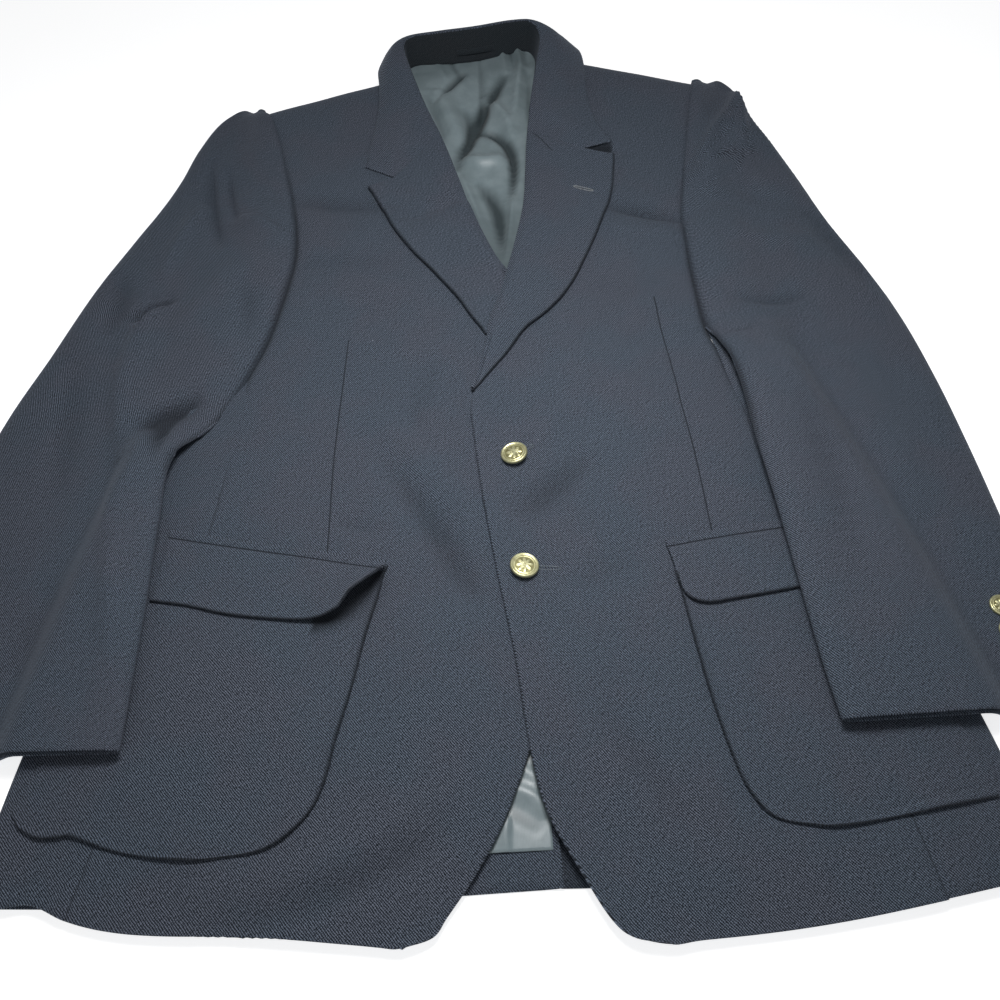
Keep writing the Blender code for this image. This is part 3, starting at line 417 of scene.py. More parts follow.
# Side bodies
# A narrow wool panel under each arm: it lies on the table, folds over at the garment's side
# and meets the front at a seam.
BODY_CROWN = (
    (-0.02, 0.0097), (0.1, 0.0104), (0.25, 0.0117), (0.4, 0.0141), (0.52, 0.0178), (0.64, 0.0235),
    (0.74, 0.03), (0.8, 0.033), (0.88, 0.0335),
)
# Columns: floor seam x, y, fold x, y, top seam x, y
LEFT_SIDE = (
    (-0.254, 0.03, -0.34, 0.034, -0.2785, 0.025),
    (-0.2465, 0.112, -0.329, 0.115, -0.2605, 0.11),
    (-0.2385, 0.22, -0.31, 0.22, -0.2385, 0.22),
    (-0.235, 0.28, -0.293, 0.28, -0.225, 0.315),
    (-0.23, 0.4, -0.262, 0.395, -0.212, 0.435),
)
RIGHT_SIDE = (
    (0.2242, 0.029, 0.298, 0.0225, 0.231, 0.0125),
    (0.2145, 0.112, 0.285, 0.115, 0.2155, 0.11),
    (0.2025, 0.22, 0.263, 0.22, 0.198, 0.22),
    (0.195, 0.305, 0.243, 0.3, 0.1868, 0.32),
    (0.1885, 0.37, 0.226, 0.37, 0.1815, 0.38),
    (0.18, 0.47, 0.21, 0.475, 0.1668, 0.478),
)
UNDER_ARM = {"left": 0.415, "right": 0.445}
SEAM_TUCK = 0.0024
SEAM_DEPTH = 0.0009
SIDE_SEAM_WIDTH = 0.0025
UNDER_ARM_DROP = 0.0045
CHEST_Y = 0.55
CHEST_HEIGHT = 0.0012
WAVE_HEIGHT = 0.0007
HEM_WAVE_HEIGHT = 0.0006
SMALL_WAVES = (0.00030, 0.00022)
# Folds of the body. Columns: start x, y, middle x, y, end x, y, width to the left and to the
# right of that way, height, sharpness (2 is soft, 1 is a pressed crease)
BODY_FOLDS = (
    (-0.2, 0.64, -0.15, 0.625, -0.06, 0.619, 0.012, 0.01, -0.0046, 2.0),
    (-0.098, 0.602, -0.06, 0.612, -0.014, 0.639, 0.01, 0.008, -0.0046, 1.8),
    (-0.2, 0.56, -0.146, 0.551, -0.065, 0.546, 0.016, 0.018, -0.0026, 2.0),
    (-0.134, 0.454, -0.095, 0.447, -0.04, 0.435, 0.012, 0.005, 0.0024, 1.4),
    (-0.17, 0.5, -0.12, 0.492, -0.07, 0.47, 0.012, 0.012, -0.0018, 2.0),
    (0.098, 0.606, 0.129, 0.593, 0.178, 0.577, 0.011, 0.007, -0.007, 1.6),
    (0.088, 0.58, 0.125, 0.569, 0.164, 0.564, 0.009, 0.008, 0.0022, 2.0),
    (0.06, 0.52, 0.095, 0.5, 0.15, 0.505, 0.014, 0.012, -0.002, 2.0),
    (0.058, 0.33, 0.026, 0.3, -0.004, 0.276, 0.013, 0.015, -0.0054, 1.8),
    (0.004, 0.345, 0.026, 0.356, 0.052, 0.38, 0.012, 0.009, 0.0024, 2.0),
    (-0.06, 0.446, -0.072, 0.395, -0.082, 0.35, 0.014, 0.014, -0.0028, 2.0),
    (-0.106, 0.348, -0.06, 0.272, -0.028, 0.196, 0.013, 0.012, -0.0062, 1.8),
    (-0.11, 0.39, -0.073, 0.328, -0.034, 0.282, 0.013, 0.013, 0.0034, 2.0),
    (-0.03, 0.22, -0.06, 0.185, -0.1, 0.15, 0.02, 0.016, 0.0028, 2.0),
    (-0.045, 0.075, -0.11, 0.036, -0.2, 0.013, 0.01, 0.01, -0.0044, 1.8),
    (-0.07, 0.09, -0.12, 0.05, -0.215, 0.032, 0.012, 0.01, 0.003, 2.0),
    (0.04, 0.15, 0.068, 0.095, 0.105, 0.045, 0.014, 0.012, -0.0028, 2.0),
    (-0.138, 0.285, -0.12, 0.278, -0.096, 0.272, 0.006, 0.005, -0.0034, 1.8),
    (-0.124, 0.2, -0.11, 0.217, -0.097, 0.24, 0.01, 0.01, -0.005, 2.0),
    (0.06, 0.44, 0.09, 0.425, 0.128, 0.418, 0.014, 0.012, 0.002, 2.0),
    (0.03, 0.21, 0.06, 0.232, 0.095, 0.24, 0.016, 0.014, -0.0026, 2.0),
    (0.02, 0.5, 0.04, 0.47, 0.03, 0.43, 0.012, 0.012, 0.0022, 2.0),
)


def table_value(table, column, key):
    data = np.array(table, float)
    return np.interp(key, data[:, 0], data[:, column])


def folds(table, x, y):
    """Height of listed troughs and ridges, each along a curve through three points."""
    place = np.stack((np.ravel(x), np.ravel(y)), axis=1)
    total = np.zeros(len(place))
    share = np.linspace(0.0, 1.0, 41)[:, None]
    for x0, y0, x1, y1, x2, y2, left, right, height, sharp in table:
        start, middle, end = np.array(((x0, y0), (x1, y1), (x2, y2)))
        pull = 2.0 * middle - (start + end) / 2.0
        curve = (1 - share) ** 2 * start + 2 * share * (1 - share) * pull + share**2 * end
        way = np.gradient(curve, axis=0)
        close = np.flatnonzero(
            (place > curve.min(axis=0) - 0.07).all(axis=1)
            & (place < curve.max(axis=0) + 0.07).all(axis=1)
        )
        if not len(close):
            continue
        step = place[close][:, None, :] - curve[None, :, :]
        nearest = (step**2).sum(axis=2).argmin(axis=1)
        off = step[np.arange(len(close)), nearest]
        tangent = way[nearest] / np.linalg.norm(way[nearest], axis=1, keepdims=True)
        across = tangent[:, 0] * off[:, 1] - tangent[:, 1] * off[:, 0]
        beyond = (off * tangent).sum(axis=1)
        width = np.where(across > 0, left, right)
        bell = np.exp(-(np.sqrt((across / width) ** 2 + 0.01) ** sharp))
        fade = np.sin(pi * share[nearest, 0]) ** 0.6 * falloff(beyond, 0.004)
        total[close] += height * bell * fade
    return total.reshape(np.shape(x))


def crease_shade(height, depth):
    """How much shade to paint inside a trough: 0 on the open cloth, 1 at the given depth."""
    return np.clip((-height - 0.15 * depth) / (0.85 * depth), 0.0, 1.0)


def body_height(x, y):
    crown = table_value(BODY_CROWN, 1, y)
    wave = WAVE_HEIGHT * np.sin(26.0 * x + 9.0 * y) * np.sin(11.0 * y + 0.6)
    hem_wave = HEM_WAVE_HEIGHT * np.sin(34.0 * x + 0.5) * smoothstep(0.16, 0.0, y)
    chest = CHEST_HEIGHT * falloff(y - CHEST_Y, 0.07) * np.sin(18.0 * np.abs(x) - 0.4)
    return crown + wave + hem_wave + chest


def body_top(x, y):
    """Outer face of the body: its main form, its folds and small waves of the cloth."""
    small = SMALL_WAVES[0] * np.sin(61.0 * x + 17.0 * y + 1.1) * np.sin(43.0 * y - 21.0 * x)
    small = small + SMALL_WAVES[1] * np.sin(97.0 * y + 35.0 * x + 0.4) * np.sin(52.0 * x + 2.0)
    return body_height(x, y) + folds(BODY_FOLDS, x, y) + small


# The left hem's edge, from the side to the front corner. Columns: x, y
LEFT_HEM = (
    (-0.34, 0.0335), (-0.318, 0.0324), (-0.3018, 0.0338), (-0.2923, 0.0312), (-0.2765, 0.0241),
    (-0.2524, 0.0178), (-0.2221, 0.0139), (-0.1623, 0.0102), (-0.115, 0.0048), (-0.0932, 0.0022),
    (-0.08, 0.0012),
)


def hem_shift(points):
    """How far to move hem points along y to bring them to the left hem's edge."""
    edge = smooth_rows(LEFT_HEM, 90)
    return np.interp(points[:, 0], edge[:, 0], edge[:, 1]) - points[:, 1]


for side, table, sign in (("left", LEFT_SIDE, -1), ("right", RIGHT_SIDE, 1)):
    rails = smooth_rows(table, 110)
    rails[:, 4] -= sign * SEAM_TUCK
    floor, fold, top = rails[:, None, 0:2], rails[:, None, 2:4], rails[:, None, 4:6]
    height = body_top(fold[:, :, 0], fold[:, :, 1])
    radius = height / 2.0
    centre = fold - np.dstack((sign * radius, 0.0 * radius))
    low = floor + (centre - floor) * np.linspace(0.0, 1.0, 12)[None, :, None]
    turn = np.linspace(0.0, pi, 14)[None, 1:-1]
    round_x = centre[:, :, 0] + sign * radius * np.sin(turn)
    round_y = fold[:, :, 1] + 0.0 * turn
    high = centre + (top - centre) * (1.0 - np.linspace(1.0, 0.0, 26) ** 1.8)[None, :, None]
    if side == "left":
        high[:, :, 1] += hem_shift(high[0]) * smoothstep(0.090, 0.034, rails[:, 3:4]) ** 2
    tucked = SEAM_DEPTH * falloff(np.linalg.norm(high - top, axis=2), SIDE_SEAM_WIDTH)
    hidden_from = UNDER_ARM[side]
    under_arm = smoothstep(hidden_from - 0.02, hidden_from + 0.02, high[:, :, 1]) * UNDER_ARM_DROP
    grid = np.concatenate((
        lift(low, 0.0 * low[:, :, 0]),
        np.dstack((round_x, round_y, radius - radius * np.cos(turn))),
        lift(high, body_top(high[:, :, 0], high[:, :, 1]) - tucked - under_arm),
    ), axis=1)
    run = np.linalg.norm(np.diff(grid, axis=1), axis=2)
    run = np.concatenate((np.zeros((len(run), 1)), np.cumsum(run, axis=1)), axis=1)
    grain = np.dstack((sign * (run[:, -1:] - run) + top[:, :, 0], grid[:, :, 1]))
    panel = cloth_piece("side_body_cloth_" + side, wool_look, grid, WOOL, (0, 0, -1), grain)
    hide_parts("side_body_" + side)


# Linings
# Blue-grey satin: the back lining hangs loosely inside the neck with a centre pleat and slack
# folds, and its lower edge shows above the back's hem, where it has an ease pleat.
LINING = 0.0010
# Columns: left x, right x, y, middle height
NECK_LINING = (
    (-0.045, 0.025, 0.495, 0.0034),
    (-0.062, 0.04, 0.55, 0.0045),
    (-0.072, 0.048, 0.6, 0.006),
    (-0.083, 0.054, 0.66, 0.008),
    (-0.09, 0.056, 0.72, 0.011),
    (-0.092, 0.057, 0.77, 0.016),
    (-0.09, 0.056, 0.81, 0.0225),
    (-0.086, 0.053, 0.834, 0.0285),
    (-0.083, 0.051, 0.84, 0.03),
)
NECK_FOLDS = (
    (-0.012, 0.85, -0.012, 0.796, -0.014, 0.744, 0.006, 0.0016, -0.0034, 1.4),
    (-0.024, 0.83, -0.045, 0.808, -0.062, 0.782, 0.004, 0.004, -0.0058, 1.6),
    (-0.054, 0.806, -0.046, 0.765, -0.028, 0.722, 0.01, 0.01, 0.006, 2.0),
    (0.018, 0.826, -0.014, 0.76, -0.042, 0.68, 0.006, 0.007, -0.01, 1.6),
    (-0.012, 0.794, 0.009, 0.76, 0.017, 0.722, 0.007, 0.006, 0.007, 1.8),
    (-0.02, 0.742, 0.014, 0.71, 0.01, 0.632, 0.005, 0.005, -0.009, 1.6),
    (-0.036, 0.704, -0.012, 0.694, 0.01, 0.7, 0.009, 0.007, 0.007, 1.8),
    (-0.022, 0.668, -0.003, 0.626, 0.001, 0.566, 0.008, 0.007, -0.006, 1.6),
    (0.015, 0.646, 0.009, 0.6, 0.003, 0.552, 0.005, 0.004, 0.0046, 1.6),
    (-0.036, 0.676, -0.026, 0.64, -0.016, 0.6, 0.004, 0.004, 0.0044, 1.6),
    (0.034, 0.85, 0.027, 0.797, 0.02, 0.74, 0.006, 0.006, 0.0062, 1.8),
    (0.04, 0.826, 0.038, 0.785, 0.036, 0.735, 0.004, 0.004, -0.005, 1.6),
    (-0.07, 0.8, -0.058, 0.76, -0.05, 0.72, 0.005, 0.005, -0.0044, 1.8),
    (-0.034, 0.78, -0.026, 0.752, -0.03, 0.716, 0.006, 0.005, -0.004, 1.8),
    (0.01, 0.862, 0.014, 0.846, 0.016, 0.822, 0.003, 0.003, 0.0026, 1.6),
    (0.018, 0.864, 0.023, 0.848, 0.025, 0.824, 0.003, 0.003, -0.0028, 1.6),
    (0.026, 0.866, 0.03, 0.852, 0.032, 0.828, 0.003, 0.003, 0.0026, 1.6),
    (0.034, 0.868, 0.037, 0.854, 0.039, 0.83, 0.003, 0.003, -0.0026, 1.6),
    (-0.044, 0.848, -0.038, 0.834, -0.03, 0.82, 0.003, 0.003, -0.0024, 1.6),
    (-0.058, 0.842, -0.052, 0.828, -0.046, 0.816, 0.003, 0.003, 0.0022, 1.6),
)
HEM_LINING_FOLDS = (
    (-0.018, 0.045, -0.018, 0.062, -0.016, 0.078, 0.006, 0.0012, 0.0016, 1.4),
    (-0.03, 0.088, -0.006, 0.084, 0.008, 0.07, 0.005, 0.006, 0.0022, 1.8),
    (-0.04, 0.076, -0.02, 0.074, 0.004, 0.06, 0.005, 0.004, -0.0012, 1.8),
    (-0.012, 0.108, -0.004, 0.096, 0.008, 0.092, 0.004, 0.004, 0.0014, 1.8),
    (-0.06, 0.066, -0.045, 0.072, -0.03, 0.066, 0.006, 0.006, 0.0014, 2.0),
)
NECK_LINING_LOWEST = 0.0031
HEM_LINING_HEIGHT = 0.0002
NECK_FOLD_DEPTH = 0.0058
HEM_FOLD_DEPTH = 0.0012
BELOW_COLLAR_EDGE = 0.0075
SHADE_BELOW_COLLAR = 0.40
SHADE_AT_CLOSURE = 0.55
SHADE_AT_HEM = 0.12
SATIN_COLOUR = (0.245, 0.305, 0.325, 1.0)
SATIN_SHADE = (0.200, 0.255, 0.272, 1.0)
SATIN_TROUGH_SHADE = (0.016, 0.027, 0.031, 1.0)
SATIN_SEAM = (0.020, 0.026, 0.030, 1.0)
SATIN_THREAD_MM = 0.9
SATIN_THREAD_RELIEF = 0.00002
SATIN_WRINKLE_RELIEF = 0.0004


def lining_satin():
    """Satin lining: a fine weave, soft gloss, slightly uneven dye, and painted shade where the crease
    mark says.
    """
    made, tree, shader = new_look("lining_satin")
    grain = node(tree, "ShaderNodeUVMap", uv_map="grain").outputs[0]
    mm = node(tree, "ShaderNodeMapping", {"Vector": grain, "Scale": (1000.0, 1000.0, 1000.0)})
    cloud = node(tree, "ShaderNodeTexNoise", {
        "Vector": mm.outputs[0], "Scale": 0.05, "Detail": 4.0, "Roughness": 0.6,
    }).outputs["Fac"]
    thread = node(tree, "ShaderNodeTexWave", {
        "Vector": mm.outputs[0], "Scale": WAVE_SCALE / SATIN_THREAD_MM, "Distortion": 1.0,
    }, bands_direction="X").outputs["Fac"]
    colour = blend(tree, ramp(tree, cloud, 0.35, 0.65), SATIN_SHADE, SATIN_COLOUR)
    # Painted shade from the crease mark: in troughs and deep in the neck.
    crease = mark_value(tree, "crease")
    colour = blend(tree, sums(tree, "MULTIPLY", crease, 0.9), colour, SATIN_TROUGH_SHADE)
    seam = seam_mask(tree, "seam", 0.0007)
    colour = blend(tree, sums(tree, "MULTIPLY", seam, 0.7), colour, SATIN_SEAM)
    tree.links.new(colour, shader.inputs["Base Color"])
    tree.links.new(ramp(tree, cloud, 0.3, 0.7, 0.32, 0.40), shader.inputs["Roughness"])
    wrinkle = node(tree, "ShaderNodeTexNoise", {
        "Vector": mm.outputs[0], "Scale": 0.055, "Detail": 0.5,
    }).outputs["Fac"]
    relief = sums(tree, "MULTIPLY", thread, SATIN_THREAD_RELIEF)
    relief = sums(tree, "ADD", relief, sums(tree, "MULTIPLY", wrinkle, SATIN_WRINKLE_RELIEF))
    relief = sums(tree, "SUBTRACT", relief, sums(tree, "MULTIPLY", seam, 0.0004))
    raise_surface(tree, shader, relief)
    shader.inputs["Specular IOR Level"].default_value = 0.65
    shader.inputs["Anisotropic"].default_value = 0.45
    shader.inputs["Sheen Weight"].default_value = 0.12
    return made


satin_look = lining_satin()
rails = smooth_rows(NECK_LINING, 190)
across = np.linspace(0.0, 1.0, 84)
left, right, y_rail, middle = rails.T
x = left[:, None] + (right - left)[:, None] * across[None, :]
y = y_rail[:, None] + 0.0 * x
y = y + smoothstep(0.70, 0.834, y) * (0.010 + 0.10 * (x + 0.02))
edge = body_height(x, y) - BELOW_COLLAR_EDGE
bowl = np.abs(2.0 * across - 1.0) ** 1.7
height = middle[:, None] + np.maximum(edge - middle[:, None], 0.0) * bowl[None, :]
calm = 1.0 - bowl[None, :] ** 3
slack = folds(NECK_FOLDS, x, y) * calm
height = np.maximum(height + slack, NECK_LINING_LOWEST)
# Painted shade in the troughs of the slack folds, below the collar's edge and low in the opening between
# the lapels.
neck_shade = SHADE_BELOW_COLLAR * smoothstep(0.80, 0.84, y)
neck_shade = neck_shade + SHADE_AT_CLOSURE * smoothstep(0.67, 0.56, y)
marks = {"crease": np.clip(crease_shade(slack, NECK_FOLD_DEPTH) + neck_shade, 0.0, 1.0)}
neck = cloth_piece("neck_lining_satin", satin_look, np.dstack((x, y, height)), LINING, marks=marks)
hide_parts("neck_lining")

y, x = np.meshgrid(np.linspace(0.0500, 0.1300, 46), np.linspace(-0.075, 0.0085, 56), indexing="ij")
slack = folds(HEM_LINING_FOLDS, x, y)
height = LAYER + LINING + HEM_LINING_HEIGHT + np.maximum(slack, -HEM_LINING_HEIGHT)
# Painted shade: an even darkening over the hem lining, deeper in the troughs of its folds.
marks = {"crease": SHADE_AT_HEM + 0.5 * crease_shade(slack, HEM_FOLD_DEPTH)}
hem_lining = cloth_piece("hem_lining_satin", satin_look, np.dstack((x, y, height)), LINING, marks=marks)
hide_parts("hem_lining")


# Fronts
# The left and right front, each one panel of wool with a long dart; the right one laps over the
# left one down the centre, and its edge is thick from the facing turned in behind it.
# Columns: inner x, y on the roll line and front edge, outer x, y on armhole and side seam
LEFT_FRONT = (
    (-0.098, 0.821, -0.2375, 0.7785),
    (-0.088, 0.79, -0.221, 0.742),
    (-0.076, 0.755, -0.2065, 0.683),
    (-0.059, 0.715, -0.1945, 0.627),
    (-0.0425, 0.653, -0.188, 0.574),
    (-0.0235, 0.585, -0.1915, 0.53),
    (-0.011, 0.545, -0.1975, 0.492),
    (0.002, 0.5, -0.2055, 0.456),
    (0.01, 0.45, -0.218, 0.418),
    (0.018, 0.39, -0.2205, 0.37),
    (0.02, 0.33, -0.2235, 0.32),
    (0.02, 0.26, -0.23, 0.265),
    (0.018, 0.2, -0.237, 0.22),
    (0.01, 0.15, -0.247, 0.165),
    (-0.002, 0.11, -0.259, 0.11),
    (-0.02, 0.068, -0.266, 0.08),
    (-0.037, 0.04, -0.2695, 0.06),
    (-0.055, 0.0165, -0.273, 0.044),
    (-0.0635, 0.0058, -0.2755, 0.033),
    (-0.08, 0.0012, -0.277, 0.0245),
)
RIGHT_FRONT = (
    (0.076, 0.837, 0.2095, 0.786),
    (0.062, 0.79, 0.1975, 0.738),
    (0.045, 0.745, 0.185, 0.675),
    (0.0385, 0.712, 0.1755, 0.63),
    (0.035, 0.655, 0.168, 0.585),
    (0.029, 0.615, 0.1665, 0.55),
    (0.0185, 0.57, 0.1655, 0.52),
    (0.007, 0.525, 0.166, 0.485),
    (-0.009, 0.475, 0.167, 0.453),
    (-0.02, 0.425, 0.175, 0.422),
    (-0.031, 0.388, 0.1795, 0.39),
    (-0.03, 0.355, 0.1835, 0.355),
    (-0.024, 0.292, 0.1885, 0.3),
    (-0.016, 0.23, 0.1935, 0.24),
    (-0.007, 0.17, 0.201, 0.185),
    (-0.001, 0.111, 0.2125, 0.118),
    (0.007, 0.071, 0.218, 0.088),
    (0.026, 0.033, 0.2225, 0.058),
    (0.0395, 0.01, 0.226, 0.037),
    (0.051, 0.0005, 0.228, 0.023),
    (0.069, -0.003, 0.2295, 0.012),
)
LEFT_SHOULDER = ((-0.245, 0.772), (-0.095, 0.822))
RIGHT_SHOULDER = ((0.075, 0.838), (0.210, 0.783))
LEFT_DART = ((-0.134, 0.453), (-0.137, 0.392), (-0.139, 0.336), (-0.139, 0.262))
RIGHT_DART = (
    (0.128, 0.483), (0.129, 0.45), (0.133, 0.4), (0.134, 0.373), (0.137, 0.325), (0.138, 0.259),
)
ARMHOLE_SPAN = {"left": (0.40, 0.66), "right": (0.39, 0.62)}
EDGE_THICKER = 0.0012
NOTCH_HOLLOW = 0.0060
NOTCH_PLACE = (0.1030, 0.6790)
NOTCH_SIZE = (0.0120, 0.0060)
EDGE_STITCH_INSET = 0.0060
EDGE_WIDTH = 0.009
EDGE_WAVE = 0.0012
GROOVE_WIDTH = 0.0045
GROOVE_SHADE_WIDTH = 0.0035
ARMHOLE_GROOVE = 0.0011
UNDER_ARM_GROOVE = 0.0026
SHOULDER_DROP = 0.0130
SHOULDER_WIDTH = 0.030
BODY_FOLD_DEPTH = 0.0080
BODY_FOLD_SHADE = 0.55
UNDER_SLEEVE_SHADOW = 0.85
SIDE_SEAM_DARK = 0.75


def armhole_groove(side, y):
    """Depth of the armhole seam, deepest under the arm where the sleeve puffs over the front."""
    low, high = ARMHOLE_SPAN[side]
    under_arm = smoothstep(low - 0.03, low + 0.03, y) * smoothstep(high + 0.06, high - 0.10, y)
    fade = smoothstep(low - 0.03, low + 0.01, y) * smoothstep(0.785, 0.720, y)
    return (ARMHOLE_GROOVE + UNDER_ARM_GROOVE * under_arm) * fade


def shoulder_dip(x, y, seam):
    line = table_value(seam, 1, x)
    share = np.clip((y - (line - SHOULDER_WIDTH)) / SHOULDER_WIDTH, 0.0, 1.0)
    return SHOULDER_DROP * (1.0 - np.sqrt(np.maximum(1.0 - share * share, 0.0)))


def left_front_height(x, y):
    under = smoothstep(-0.078, -0.050, x) * smoothstep(0.60, 0.50, y)
    return body_top(x, y) - LAYER * under - shoulder_dip(x, y, LEFT_SHOULDER)


def right_front_height(x, y):
    return body_top(x, y) - shoulder_dip(x, y, RIGHT_SHOULDER)


def sewn_lines(x, y, lines):
    """Signed distance to the nearest sewn line, and 1 beside it where it is sewn."""
    place = np.stack((np.ravel(x), np.ravel(y)), axis=1)
    distance = np.full(len(place), 0.05)
    shown = np.zeros(len(place))
    for line in lines:
        curve = smooth_rows(line, 60 if len(line) > 2 else 30)
        way = np.gradient(curve, axis=0)
        step = place[:, None, :] - curve[None, :, :]
        nearest = (step**2).sum(axis=2).argmin(axis=1)
        off = step[np.arange(len(place)), nearest]
        tangent = way[nearest] / np.linalg.norm(way[nearest], axis=1, keepdims=True)
        across = tangent[:, 0] * off[:, 1] - tangent[:, 1] * off[:, 0]
        beyond = np.abs((off * tangent).sum(axis=1))
        closer = np.hypot(across, beyond) < np.abs(distance)
        distance = np.where(closer, across, distance)
        sewn = (np.abs(across) < 0.012) & (beyond < 0.0045)
        shown = np.where(closer, sewn, shown)
    return {"seam": distance.reshape(x.shape), "seam_on": shown.reshape(x.shape)}


for side, table, height_of, sign, dart, bow in (
    ("left", LEFT_FRONT, left_front_height, -1, LEFT_DART, 0.0012),
    ("right", RIGHT_FRONT, right_front_height, 1, RIGHT_DART, 0.003),
):
    rows, columns = 262, 88
    across = smoothstep(0.0, 1.0, np.linspace(0.12, 0.88, columns))
    across = (across - across[0]) / (across[-1] - across[0])
    plan = plan_grid(table, rows, across)
    near_hem = smoothstep(0.80, 1.0, np.linspace(0.0, 1.0, rows))
    plan[:, :, 1] -= bow * near_hem[:, None] * np.sin(pi * across)[None, :]
    if side == "left":
        plan[:, :, 1] += hem_shift(plan[-1]) * near_hem[:, None] ** 2
    x, y = plan[:, :, 0], plan[:, :, 1]
    width = np.linalg.norm(plan[:, -1] - plan[:, 0], axis=1)[:, None]
    from_edge = across[None, :] * width
    below_lapel = smoothstep(0.40, 0.37, y) if side == "right" else smoothstep(0.14, 0.09, y)
    edge_rise = EDGE_THICKER * falloff(from_edge, EDGE_WIDTH) * below_lapel
    wavy = EDGE_WAVE * (0.5 + 0.5 * np.sin(y * 47.0 + 1.0)) * falloff(from_edge, 0.014)
    edge_lift = wavy * below_lapel * (1.0 if side == "right" else 0.4)
    from_armhole = (1.0 - across)[None, :] * width
    groove = armhole_groove(side, y) * np.exp(-from_armhole / GROOVE_WIDTH)
    groove = groove + 0.6 * SEAM_DEPTH * falloff(from_armhole, 0.0018)
    rise = height_of(x, y) + edge_rise + edge_lift - groove
    if side == "right":
        off_x, off_y = (x - NOTCH_PLACE[0]) / NOTCH_SIZE[0], (y - NOTCH_PLACE[1]) / NOTCH_SIZE[1]
        notch = np.exp(-(off_x**2) - off_y**2)
        rise = rise - NOTCH_HOLLOW * notch
        # Painted shadow in the notch between the collar's end and the right lapel.
        in_notch = smoothstep(0.080, 0.088, x) * smoothstep(0.1145, 0.1115, x)
        notch_shade = in_notch * falloff(y - 0.683, 0.012)
    marks = sewn_lines(x, y, (dart,))
    # Painted shade in the folds' troughs and along the armhole where the sleeve overhangs the front, and
    # the notch's painted shadow on the right; the side seam line below the arm is darkened too.
    marks["crease"] = BODY_FOLD_SHADE * crease_shade(folds(BODY_FOLDS, x, y), BODY_FOLD_DEPTH)
    under_sleeve = falloff(from_armhole, GROOVE_SHADE_WIDTH) * armhole_groove(side, y)
    under_sleeve = under_sleeve / (ARMHOLE_GROOVE + UNDER_ARM_GROOVE)
    side_seam = falloff(from_armhole, SEAM_HALF_WIDTH) * smoothstep(0.44, 0.41, y)
    seams_dark = np.maximum(UNDER_SLEEVE_SHADOW * under_sleeve, SIDE_SEAM_DARK * side_seam)
    marks["crease"] = np.maximum(marks["crease"], seams_dark)
    if side == "right":
        marks["crease"] = np.maximum(marks["crease"], notch_shade)
    marks["stitch"] = from_edge - EDGE_STITCH_INSET
    marks["stitch_on"] = below_lapel * (np.abs(from_edge - EDGE_STITCH_INSET) < 0.008)
    run = np.linalg.norm(np.diff(plan[:, 0], axis=0), axis=1)
    marks["stitch_run"] = np.r_[0.0, np.cumsum(run)][:, None]
    front = cloth_piece("front_cloth_" + side, wool_look, lift(plan, rise), WOOL + edge_rise,
                        marks=marks)
    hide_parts("front_" + side)


# Collar
# One band of wool: the stand rises inside the neck and the fall turns over it at the crease and
# lies outside on the shoulders, ending in a notch against each lapel.
LAPEL_BEND = 0.62
# Columns: crease x, y, z, bend x, y, fall edge x, y, z, neck seam x, y, z
COLLAR = (
    (-0.054, 0.7173, 0.033, -0.0993, 0.6575, -0.1269, 0.6735, 0.0295, -0.056, 0.726, 0.026),
    (-0.068, 0.752, 0.04, -0.102, 0.714, -0.1225, 0.7, 0.032, -0.07, 0.756, 0.029),
    (-0.077, 0.782, 0.045, -0.102, 0.756, -0.117, 0.745, 0.034, -0.08, 0.784, 0.029),
    (-0.084, 0.808, 0.049, -0.104, 0.794, -0.116, 0.786, 0.0365, -0.087, 0.808, 0.029),
    (-0.0895, 0.836, 0.0525, -0.108, 0.83, -0.119, 0.829, 0.032, -0.09, 0.83, 0.029),
    (-0.082, 0.85, 0.0545, -0.1, 0.858, -0.112, 0.869, 0.017, -0.08, 0.84, 0.029),
    (-0.052, 0.854, 0.0555, -0.061, 0.874, -0.068, 0.89, 0.0075, -0.05, 0.841, 0.029),
    (-0.015, 0.858, 0.056, -0.015, 0.88, -0.015, 0.896, 0.005, -0.015, 0.844, 0.029),
    (0.023, 0.866, 0.056, 0.032, 0.884, 0.039, 0.898, 0.0065, 0.02, 0.852, 0.029),
    (0.045, 0.865, 0.055, 0.065, 0.872, 0.082, 0.88, 0.016, 0.04, 0.856, 0.029),
    (0.053, 0.842, 0.0525, 0.077, 0.841, 0.095, 0.842, 0.033, 0.05, 0.84, 0.029),
    (0.048, 0.806, 0.0485, 0.077, 0.799, 0.097, 0.796, 0.037, 0.048, 0.808, 0.029),
    (0.041, 0.766, 0.0435, 0.074, 0.76, 0.096, 0.758, 0.034, 0.043, 0.772, 0.029),
    (0.036, 0.735, 0.039, 0.074, 0.725, 0.1, 0.724, 0.032, 0.038, 0.744, 0.028),
    (0.0323, 0.7113, 0.033, 0.0863, 0.6826, 0.1125, 0.689, 0.03, 0.034, 0.72, 0.026),
)
LAPEL_PUFF = 0.0022
PUFF_PLACE = 0.12
PUFF_WIDTH = 0.12
RESTING_GAP = 0.0002
GORGE_TUCK = 0.0016
GORGE_DEPTH = 0.0007
GORGE_TUCK_WIDTH = 0.006
GORGE_WIDTH = 0.0020
COLLAR_END = 0.034
COLLAR_BULGE = 0.0080
CREASE_ROLL = 0.0012
COLLAR_GRAIN_TURN = 12.0
STAND_TUCK_AT_NECK = 0.0032
STAND_TUCK_AT_CREASE = 0.0006
STAND_BELOW_CREASE = 0.0008
STAND_END_ROWS = 16
NECK_MIDDLE = np.array((-0.015, 0.790))
# Tones of the collar stand's wool: the twill darkened to paint the shade inside the neck.
STAND_SHADED_DARK = (0.006, 0.009, 0.012, 1.0)
STAND_SHADED_LIGHT = (0.036, 0.044, 0.050, 1.0)


